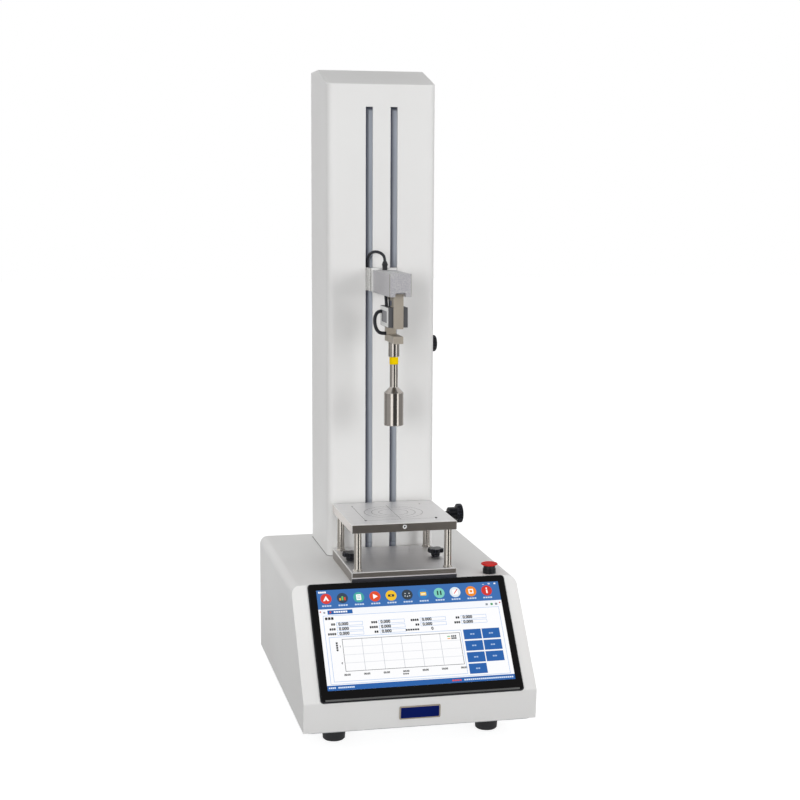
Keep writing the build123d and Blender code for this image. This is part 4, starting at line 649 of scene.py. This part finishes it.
def cushion_tile(name, half_w, half_h, corner, rise, place):
    """A rounded rectangle that swells to its full height a short way in from its edge:
    rings of the outline are drawn in towards the middle as they rise by a quarter sine."""
    angles = np.linspace(0, pi / 2, 7)
    outline = []
    for i, (sx, sy) in enumerate(((1, 1), (-1, 1), (-1, -1), (1, -1))):
        around = angles + i * pi / 2
        outline.append(np.stack([sx * (half_w - corner) + corner * np.cos(around),
                                 sy * (half_h - corner) + corner * np.sin(around)], axis=1))
    outline = np.concatenate(outline)
    count = len(outline)
    inset = 0.45 * np.array([corner / half_w, corner / half_h])
    rings = [np.concatenate([outline, np.zeros((count, 1))], axis=1)]
    for turn in np.linspace(0, pi / 2, 5):
        drawn = outline * (1 - inset * (1 - cos(turn)))
        heights = np.full((count, 1), rise * (0.3 + 0.7 * sin(turn)))
        rings.append(np.concatenate([drawn, heights], axis=1))
    ring = np.arange(count)
    last = len(rings) - 1
    sides = bands(ring, (ring + 1) % count, count, [(k, k + 1) for k in range(last)])
    return mesh_of(name, place(np.concatenate(rings)), [*sides, ring[::-1], ring + last * count])


SKIRT_BACK, SKIRT_RISE = 3.0, 35.5
SKIRT_TILT = atan2(SKIRT_BACK, SKIRT_RISE)
TAG_MIDDLE = Vector((-2.1, -188.0 + SKIRT_BACK * 18.0 / SKIRT_RISE, 44.5))
TAG_OUT = 1.2


def on_skirt(points):
    """Across, up and out of the badge's face, to metres: the skirt leans back below."""
    across, up, out = points[:, 0] + TAG_MIDDLE.x, points[:, 1], points[:, 2] + TAG_OUT
    y = TAG_MIDDLE.y - out * cos(SKIRT_TILT) - up * sin(SKIRT_TILT)
    z = TAG_MIDDLE.z + up * cos(SKIRT_TILT) - out * sin(SKIRT_TILT)
    return np.stack([across, y, z], axis=1) / 1000


field = cushion_tile("badge_field", 22.7, 6.5, 0.8, 0.2, on_skirt)
settle(field, enamel_blue, "base")

# Emergency stop: a black threaded collar and a bright red mushroom head of
# moulded nylon, with its contact block under the panel.
black_plastic = finish_of("black_plastic", "#17181a", "#1e1f22", 0.35, 0.5, edge="#34363a", grain=2400.0)
stop_red = finish_of("stop_red", "#df130c", "#cc0f0b", 0.5, 0.6, edge="#ff9a92", patch=60.0,
                     grain=1600.0, radius=0.0008, Specular_IOR_Level=0.15)
collar_black = finish_of("collar_black", "#0c0d11", "#121318", 0.3, 0.42, edge="#3c3e45", grain=2400.0,
                         Specular_IOR_Level=0.35)
nut_steel = finish_of("nut_steel", "#b3b5b8", "#9c9ea1", 0.28, 0.42, edge="#dcdee0", metal=1.0,
                      grain=2000.0)
dress(black_plastic, "estop_block", "estop_stem")
dress(collar_black, "estop_collar")
dress(nut_steel, "estop_nut")
dress(stop_red, "estop_head")

# Rear items: a mains inlet, a rocker switch and a nine-way port, set back in the
# rear wall. The rocker carries plain on and off marks in white.
port_metal = finish_of("port_metal", "#c7c8ca", "#b0b2b5", 0.24, 0.38, edge="#e8e9ea", metal=1.0,
                       grain=2200.0)
dress(black_plastic, "power_inlet", "switch_frame", "switch_rocker")
dress(port_metal, "serial_port")

ROCKER_AT = np.array([-36.0, 182.2, 70.0])
ROCKER_LEAN = radians(10)
FACE_MIDDLE, FACE_OUT = 4.0, 1.6


def on_rocker(side, along, up, out):
    """Along, up and out of the middle of one of the rocker's two faces, to metres. Each
    face rises outwards by the lean, and the whole key is turned by it at rest."""
    x = side * (FACE_MIDDLE + along * cos(ROCKER_LEAN) - out * sin(ROCKER_LEAN))
    y = FACE_OUT + FACE_MIDDLE * tan(ROCKER_LEAN) + along * sin(ROCKER_LEAN) + out * cos(ROCKER_LEAN)
    turned_x = x * cos(ROCKER_LEAN) - y * sin(ROCKER_LEAN)
    turned_y = x * sin(ROCKER_LEAN) + y * cos(ROCKER_LEAN)
    return (np.stack([turned_x, turned_y, up], axis=-1) + ROCKER_AT) / 1000


mark_white = finish_of("mark_white", "#e6e6e4", "#d9d9d7", 0.4, 0.5, grain=2400.0)
MARK_LOW, MARK_HIGH = 0.01, 0.06
bar = np.array([(-0.35, -1.9), (0.35, -1.9), (0.35, 1.9), (-0.35, 1.9)])
on_points = np.concatenate([on_rocker(1, bar[:, 0], bar[:, 1], np.full(4, out))
                            for out in (MARK_HIGH, MARK_LOW)])
settle(mesh_of("rocker_on_mark", on_points, BOX_FACES), mark_white, "rocker")
around = np.linspace(0, 2 * pi, 32, endpoint=False)
off_points = np.concatenate([
    on_rocker(-1, r * np.cos(around), r * np.sin(around), np.full(32, out))
    for r, out in ((1.4, MARK_LOW), (1.95, MARK_LOW), (1.95, MARK_HIGH), (1.4, MARK_HIGH))])
ring = np.arange(32)
off_faces = bands(ring, (ring + 1) % 32, 32, FOUR_SIDES)
settle(mesh_of("rocker_off_mark", off_points, off_faces), mark_white, "rocker")

# Electronics in the base: a supply in a perforated aluminium case and a green
# board with its blocks; both are screwed to the base plate.
case_metal = finish_of("case_aluminium", "#b5b7b9", "#a1a3a6", 0.35, 0.5, edge="#d9dbdc", metal=0.9,
                       stretch=(1, 0.1, 1), grain=1500.0)
board_green = finish_of("board_green", "#1f5a3a", "#184a2f", 0.3, 0.5, edge="#3b7a58", patch=300.0,
                        grain=1200.0)
dress(case_metal, "power_supply")
dress(board_green, "control_board")

# Motor and drive under and in the column: a black stepper motor with its mount
# and shaft, a slit aluminium coupling, two steel bearings, the milled frame and
# the carriage's block with its nut and bushings.
motor_black = finish_of("motor_black", "#1a1b1d", "#232427", 0.4, 0.55, edge="#4a4c50", metal=0.3,
                        grain=1500.0)
frame_metal = finish_of("frame_aluminium", "#bcbec0", "#a8aaad", 0.3, 0.45, edge="#e0e1e2", metal=0.95,
                        stretch=(1, 1, 0.08), grain=1300.0)
bearing_steel = finish_of("bearing_steel", "#c2c3c5", "#adafb2", 0.15, 0.28, edge="#eceded", metal=1.0,
                          stretch=(1, 1, 6), grain=900.0)
dress(motor_black, "motor")
dress(frame_metal, "motor_mount", "shaft_coupling", "frame_top_plate", "frame_spine", "carriage_block")
dress(bearing_steel, "lower_bearing", "upper_bearing", "motor_shaft", "ball_nut", "linear_bushings")

# Guide rods, screw and strips: hard-chromed rods and a ground steel screw stand behind two flat strips of
# blue-grey spring steel, seen through the slots. The plate at the frame's foot is painted in the same
# blue-grey. Strips and plate carry a painted shadow, dark along the left part of each slot and under the
# slots' head.
rod_chrome = finish_of("rod_chrome", "#d3d4d6", "#c5c6c9", 0.06, 0.14, edge="#f0f1f1", metal=1.0,
                       stretch=(1, 1, 0.2), grain=1800.0)
screw_steel = finish_of("drive_screw_steel", "#b2b3b5", "#8f9092", 0.16, 0.3, metal=1.0,
                        stretch=(0.2, 0.2, 4), grain=400.0, height=0.0004)
strip_steel = finish_of("strip_blue_grey", "#e0e6ef", "#c4ccd9", 0.4, 0.55, edge="#5a6679", metal=0.0,
                        stretch=(1, 1, 0.02), patch=420.0, grain=1800.0, height=0.00001, dark="#747789")
dress(rod_chrome, "guide_rods")
dress(screw_steel, "drive_screw")
dress(strip_steel, "dust_strips", "frame_low_plate")

# Crosshead: a bracket with polished legs through both slots, and a bead-blasted aluminium arm bolted down
# onto the load cell. The bracket's near-white, nearly non-metallic colour is a painted reflection of its
# polished steel, and on bracket and arm the upright faces and cut corners take colours of their own,
# painted light and shade by face.
bracket_steel = finish_of("bracket_polished", "#f8f8f6", "#f0f0ee", 0.3, 0.42, metal=0.15,
                          stretch=(0.3, 0.3, 1), grain=1600.0, height=0.000006, radius=0.0002,
                          upright="#fdfdfd", cut="#77776f")
arm_metal = finish_of("arm_blasted", "#d6d6d4", "#b8b7bd", 0.45, 0.6, edge="#e0e0de", metal=0.3,
                      patch=750.0, grain=1600.0, height=0.00004, radius=0.0003, upright="#f3f2f4",
                      cut="#94918a")
# The bolt head is painted near-white where steel would be: a painted highlight.
bolt_glint_white = finish_of("bolt_glint_white", "#fdfdfd", "#f2f2f2", 0.2, 0.34, edge="#ffffff", grain=2400.0)
dress(bracket_steel, "crosshead_bracket")
dress(arm_metal, "cell_arm")
dress(bolt_glint_white, "arm_bolt")
dress(black_plastic, "cable_boot", "limit_sensor")

# Load cell: a nickel-plated S beam in warm grey, cut by two slits and a round
# hole, with a potted grey cover on each side. Each cover has a pale raised rim
# round a grey window.
cell_metal = finish_of("cell_nickel", "#b3aa9c", "#a49b8f", 0.36, 0.5, edge="#d9d2c6", metal=0.25,
                       patch=60.0, stretch=(1, 1, 0.3), grain=2000.0)
cover_metal = finish_of("cover_grey", "#505053", "#454548", 0.45, 0.6, edge="#8b8b8c", grain=2200.0,
                        height=0.00004)
cover_pale = finish_of("cover_pale", "#f4f5f3", "#e8e9e8", 0.4, 0.55, edge="#ffffff", grain=2200.0)
cover_mid = finish_of("cover_mid", "#a0a0a3", "#8f8f93", 0.45, 0.6, grain=2200.0)
dress(cell_metal, "load_cell")
dress(cover_metal, "cell_covers")


def bar_points(xs, ys, zs):
    """Corners and faces of a bar between limits in millimetres, given in metres."""
    flat = [(xs[0], ys[0]), (xs[1], ys[0]), (xs[1], ys[1]), (xs[0], ys[1])]
    return np.array([(x, y, z) for z in zs for x, y in flat]) / 1000, np.array(BOX_FACES)


def joined(name, parts):
    """One object from several sets of points and faces."""
    firsts = np.cumsum([0] + [len(points) for points, faces in parts])
    faces = [face for start, (points, faces) in zip(firsts, parts) for face in faces + start]
    return mesh_of(name, np.concatenate([points for points, faces in parts]), faces)


COVER_Y, COVER_Z = (-52.6, -7.4), (477.4, 500.6)
WINDOW_Y, WINDOW_Z = (-45.0, -15.0), (482.0, 496.0)
rims = []
for face_x in ((-12.2, -12.02), (12.02, 12.2)):
    rims += [bar_points(face_x, COVER_Y, (WINDOW_Z[1], COVER_Z[1])),
             bar_points(face_x, COVER_Y, (COVER_Z[0], WINDOW_Z[0])),
             bar_points(face_x, (COVER_Y[0], WINDOW_Y[0]), WINDOW_Z),
             bar_points(face_x, (WINDOW_Y[1], COVER_Y[1]), WINDOW_Z)]
wells = [bar_points(well_x, (-44.8, -15.2), (482.2, 495.8))
         for well_x in ((-11.5, -11.38), (11.38, 11.5))]
settle(joined("cover_rims", rims), cover_pale, "carriage")
settle(joined("cover_wells", wells), cover_mid, "carriage")

# Probe: turned and brushed stainless steel, an adaptor and a cylinder on a rod,
# with a yellow marker ring between them.
probe_steel = finish_of("probe_steel", "#b2aca6", "#a8a29c", 0.1, 0.17, edge="#eeebe7", metal=1.0,
                        stretch=(0.03, 0.03, 1), patch=60.0, grain=2600.0, height=0.000001)
ring_yellow = finish_of("ring_yellow", "#fbd800", "#f2cd00", 0.5, 0.62, edge="#ffe83c", patch=60.0,
                        grain=2000.0, Specular_IOR_Level=0.03)
dress(probe_steel, "probe_adaptor", "probe")
dress(ring_yellow, "marker_ring")

# Sample platform: a scribed stainless plate on four turned posts over a lower plate, all fine brushed from
# left to right. The upright faces of the plates are painted darker and their cut corners lighter, painted
# shade and highlight by face. The lower plate's front edge has a bright line, a painted highlight, over a
# black strip, a painted shade, and the two front fixture holes hold plugs of black and grey that are
# painted shade in the holes.
platform_steel = finish_of("platform_steel", "#e8e7e8", "#e0dfdf", 0.42, 0.52, metal=1.0,
                           stretch=(0.03, 1, 1), patch=700.0, grain=4200.0, height=0.000003,
                           radius=0.0002, upright="#a7a099", cut="#d8d7d5")
painted_front_highlight = finish_of("painted_front_highlight", "#cfccce", "#bdbabc", 0.3, 0.4, metal=0.2, stretch=(0.03, 1, 1),
                        grain=3000.0)
painted_shade_black = finish_of("painted_shade_black", "#2a2a31", "#323238", 0.3, 0.45, stretch=(0.03, 1, 1), grain=3000.0)
hole_shade_black = finish_of("hole_shade_black", "#0c0c0f", "#141418", 0.4, 0.55, grain=3000.0)
hole_shade_grey = finish_of("hole_shade_grey", "#8f8f90", "#7d7d7f", 0.4, 0.55, grain=3000.0)
post_steel = finish_of("post_steel", "#bdb8b1", "#b0aba4", 0.1, 0.18, edge="#f0ece6", metal=1.0,
                       stretch=(0.05, 0.05, 1), grain=2200.0)
# The front screw is painted near-white where steel would be: a painted highlight.
screw_glint_white = finish_of("bright_screw", "#f4f4f4", "#e6e6e6", 0.3, 0.42, edge="#ffffff", metal=0.1)
dress(platform_steel, "top_plate", "lower_plate")
dress(post_steel, "platform_posts", "post_screws")
dress(screw_glint_white, "front_screw")

SCRIBE_HALF = 0.22
SCRIBE_LOW, SCRIBE_TOP = 246.99, 247.03
PLATFORM_Y = -30.0
HOLE_AT = 43.5
FRONT_ROW = PLATFORM_Y - HOLE_AT
REAR_ROW = PLATFORM_Y + HOLE_AT


def turned(x, y, rings, count):
    """Rings of points round an upright axis, in metres. Each ring is a radius and a height."""
    around = np.linspace(0, 2 * pi, count, endpoint=False)
    rows = [np.stack([x + r * np.cos(around), y + r * np.sin(around), np.full(count, z)], axis=1)
            for r, z in rings]
    return np.concatenate(rows) / 1000


def ring_line(radius, count=96):
    """A flat ring with a rectangular section around the platform's centre."""
    near, far = radius - SCRIBE_HALF, radius + SCRIBE_HALF
    rings = ((near, SCRIBE_LOW), (far, SCRIBE_LOW), (far, SCRIBE_TOP), (near, SCRIBE_TOP))
    ring = np.arange(count)
    return turned(0.0, PLATFORM_Y, rings, count), bands(ring, (ring + 1) % count, count, FOUR_SIDES)


def straight_line(x0, y0, x1, y1):
    """A scribed line as a thin bar that lies on the plate."""
    along = np.array([x1 - x0, y1 - y0])
    side = np.array([-along[1], along[0]]) / np.hypot(*along) * SCRIBE_HALF
    flat = [(x0 + side[0], y0 + side[1]), (x0 - side[0], y0 - side[1]),
            (x1 - side[0], y1 - side[1]), (x1 + side[0], y1 + side[1])]
    points = [(x, y, z) for z in (SCRIBE_LOW, SCRIBE_TOP) for x, y in flat]
    return np.array(points) / 1000, np.array(BOX_FACES)


scribed = [ring_line(radius) for radius in (18.0, 27.0, 36.0)]
scribed += [straight_line(0, FRONT_ROW, 0, REAR_ROW),
            straight_line(-HOLE_AT, FRONT_ROW, HOLE_AT, FRONT_ROW),
            straight_line(-HOLE_AT, FRONT_ROW, -HOLE_AT, REAR_ROW)]
scribe_dark = finish_of("scribed_line", "#55514c", "#47433f", 0.5, 0.65, grain=2600.0)
settle(joined("scribed_lines", scribed), scribe_dark, "base")
# Painted light on the lower plate's front: a bright bar as a painted highlight along the edge, a black bar
# below it as painted shade, and a black disc in the front screw's socket as painted shade.
for name, limits, finish, slot in (
        ("plate_front_highlight", ((-64.3, 64.3), (-94.75, -94.45), (181.5, 182.8)), painted_front_highlight,
         "platform_steel"),
        ("screw_socket_shade", ((-1.0, 1.0), (-93.5, -93.3), (241.3, 243.3)), painted_shade_black, "cable_black"),
        ("plate_front_shade", ((-64.5, 64.5), (-95.0, -94.4), (177.2, 181.4)), painted_shade_black,
         "cable_black")):
    settle(mesh_of(name, *bar_points(*limits)), finish, "base")


def plug(x, y, radius, low, high, count=20):
    """A short upright cylinder with a small chamfer round its top."""
    rings = ((radius, low), (radius, high - 0.2), (radius - 0.2, high))
    ring = np.arange(count)
    sides = bands(ring, (ring + 1) % count, count, ((0, 1), (1, 2)))
    return turned(x, y, rings, count), [*sides, ring[::-1], ring + 2 * count]


# Black and grey plugs in the two front fixture holes: painted shade that makes the holes read dark, darker
# in the right one.
for name, x, finish in (("fixture_hole_shade_right", HOLE_AT, hole_shade_black),
                        ("fixture_hole_shade_left", -HOLE_AT, hole_shade_grey)):
    settle(mesh_of(name, *plug(x, FRONT_ROW, 1.5, 246.2, 247.9)), finish, "base")

# Knobs: black phenolic, moulded on their studs and ribbed for grip. The column's
# knob clamps the travel limit stop, a black plastic slide in the right wall.
knob_black = finish_of("knob_phenolic", "#090a10", "#0f1017", 0.18, 0.28, edge="#5a5d69", patch=80.0,
                       grain=1500.0, radius=0.0007, Specular_IOR_Level=0.25)
dress(knob_black, "clamp_knob", "limit_knob", "base_knob_left", "base_knob_right")
dress(black_plastic, "limit_stop")

# Floor and light: a seamless white table under a white sky, a soft lamp at each
# side of the camera and a weak one above, dark and bright cards that only
# reflections see, and two black flags that shade the object.
SKY_LIGHT = 0.54
world = bpy.data.worlds.new("studio")
bpy.context.scene.world = world
world.use_nodes = True
sky = world.node_tree
sky.nodes.clear()
path = sky.nodes.new("ShaderNodeLightPath")
seen = math_of(sky, "MAXIMUM", path.outputs["Is Camera Ray"], path.outputs["Is Glossy Ray"])
seen = math_of(sky, "MAXIMUM", seen, path.outputs["Is Transmission Ray"])
background = part_of(sky, "ShaderNodeBackground", Color=(1, 1, 1, 1))
sky.links.new(ramp_of(sky, seen, 0.0, 1.0, SKY_LIGHT, 1.0), background.inputs["Strength"])
sky.links.new(background.outputs[0], sky.nodes.new("ShaderNodeOutputWorld").inputs["Surface"])

floor_white = bpy.data.materials.new("table_white")
floor_white.use_nodes = True
table = floor_white.node_tree
table.nodes.clear()
paper = part_of(table, "ShaderNodeBsdfDiffuse", Color=(0.42, 0.42, 0.42, 1))
lift = part_of(table, "ShaderNodeEmission", Color=(1, 1, 1, 1))
path = table.nodes.new("ShaderNodeLightPath")
seen = math_of(table, "MAXIMUM", path.outputs["Is Camera Ray"], path.outputs["Is Glossy Ray"])
table.links.new(ramp_of(table, seen, 0.0, 1.0, 0.0, 0.82), lift.inputs["Strength"])
both = table.nodes.new("ShaderNodeAddShader")
table.links.new(paper.outputs[0], both.inputs[0])
table.links.new(lift.outputs[0], both.inputs[1])
table.links.new(both.outputs[0], table.nodes.new("ShaderNodeOutputMaterial").inputs["Surface"])
floor = mesh_of("floor", [(-9.0, -9.0, 0.0), (9.0, -9.0, 0.0), (9.0, 9.0, 0.0), (-9.0, 9.0, 0.0)],
                [(0, 1, 2, 3)])
floor.data.materials.append(floor_white)
bpy.context.scene.collection.objects.link(floor)


def card_of(name, first, last, near, far, high):
    """A piece of floor and wall seen round the object between two bearings, counted in
    degrees from the front towards the right: an arc at the near distance, one at the far
    distance, and the far one again at the card's height."""
    count = 13
    bearing = np.radians(np.linspace(first, last, count))
    rows = [np.stack([reach * np.sin(bearing), -reach * np.cos(bearing), np.full(count, height)], axis=1)
            for reach, height in ((near, 0.002), (far, 0.002), (far, high))]
    step = np.arange(count - 1)
    return mesh_of(name, np.concatenate(rows), bands(step, step + 1, count, ((0, 1), (1, 2))))


def stand(sheet, level):
    """Puts a sheet beside the object: black, and giving out light of one level."""
    material = bpy.data.materials.new(sheet.name)
    material.use_nodes = True
    surface = material.node_tree.nodes["Principled BSDF"]
    surface.inputs["Base Color"].default_value = (0, 0, 0, 1)
    surface.inputs["Specular IOR Level"].default_value = 0.0
    surface.inputs["Emission Color"].default_value = (level, level, level, 1)
    surface.inputs["Emission Strength"].default_value = 1.0
    sheet.data.materials.append(material)
    bpy.context.scene.collection.objects.link(sheet)
    sheet.visible_camera = False
    sheet.visible_transmission = False


CARD_NEAR, CARD_FAR, CARD_HIGH = 0.5, 5.5, 2.4
card_rows = (
    ("card_camera_side", -20, 28, 0.1), ("card_soft_left", -47, -20, 2.0),
    ("card_soft_right", 28, 46, 2.2), ("card_right", 46, 112, 0.45), ("card_left", -100, -47, 0.6),
    ("card_left_rear", -140, -100, 0.4), ("card_rear", -180, -140, 1.6),
    ("card_right_rear", 112, 180, 0.7))
cards = [(card_of(name, first, last, CARD_NEAR, CARD_FAR, CARD_HIGH), level)
         for name, first, last, level in card_rows]
ceiling = [(-1.0, -2.2, 2.3), (-1.0, 0.0, 2.3), (1.0, 0.0, 2.3), (1.0, -2.2, 2.3)]
cards.append((mesh_of("card_ceiling", ceiling, [(0, 1, 2, 3)]), 0.22))
for card, level in cards:
    stand(card, level)
    card.visible_diffuse = False
    card.visible_shadow = False

# One flag over the column keeps the sky off its sloped top, and one on the table,
# between the lamps and the base, shades the skirt a little.
over = [(-0.11, 0.02, 0.95), (0.11, 0.02, 0.95), (0.11, 0.16, 0.95), (-0.11, 0.16, 0.95)]
low = [(-3.0, -1.0, 0.0), (3.0, -1.0, 0.0), (3.0, -1.0, 0.14), (-3.0, -1.0, 0.14)]
for name, corners, stops_sky in (("flag_over", over, True), ("flag_low", low, False)):
    flag = mesh_of(name, corners, [(0, 1, 2, 3)])
    stand(flag, 0.0)
    flag.visible_glossy = False
    flag.visible_diffuse = stops_sky

for name, place, aim, size, power in (
        ("lamp_right", (3.7, -5.4, 1.3), (0, -0.1, 0.4), 2.4, 126.0),
        ("lamp_left", (-3.2, -5.4, 1.3), (0, -0.1, 0.4), 2.4, 122.0),
        ("lamp_top", (0.0, 0.6, 6.0), (0, 0, 0.3), 3.0, 48.0)):
    lamp_data = bpy.data.lights.new(name, "AREA")
    lamp_data.energy = power
    lamp_data.size = size
    lamp = bpy.data.objects.new(name, lamp_data)
    lamp.location = place
    lamp.rotation_euler = (Vector(aim) - Vector(place)).to_track_quat("-Z", "Y").to_euler()
    lamp.visible_glossy = False
    bpy.context.scene.collection.objects.link(lamp)
bpy.context.scene.view_settings.view_transform = "Standard"
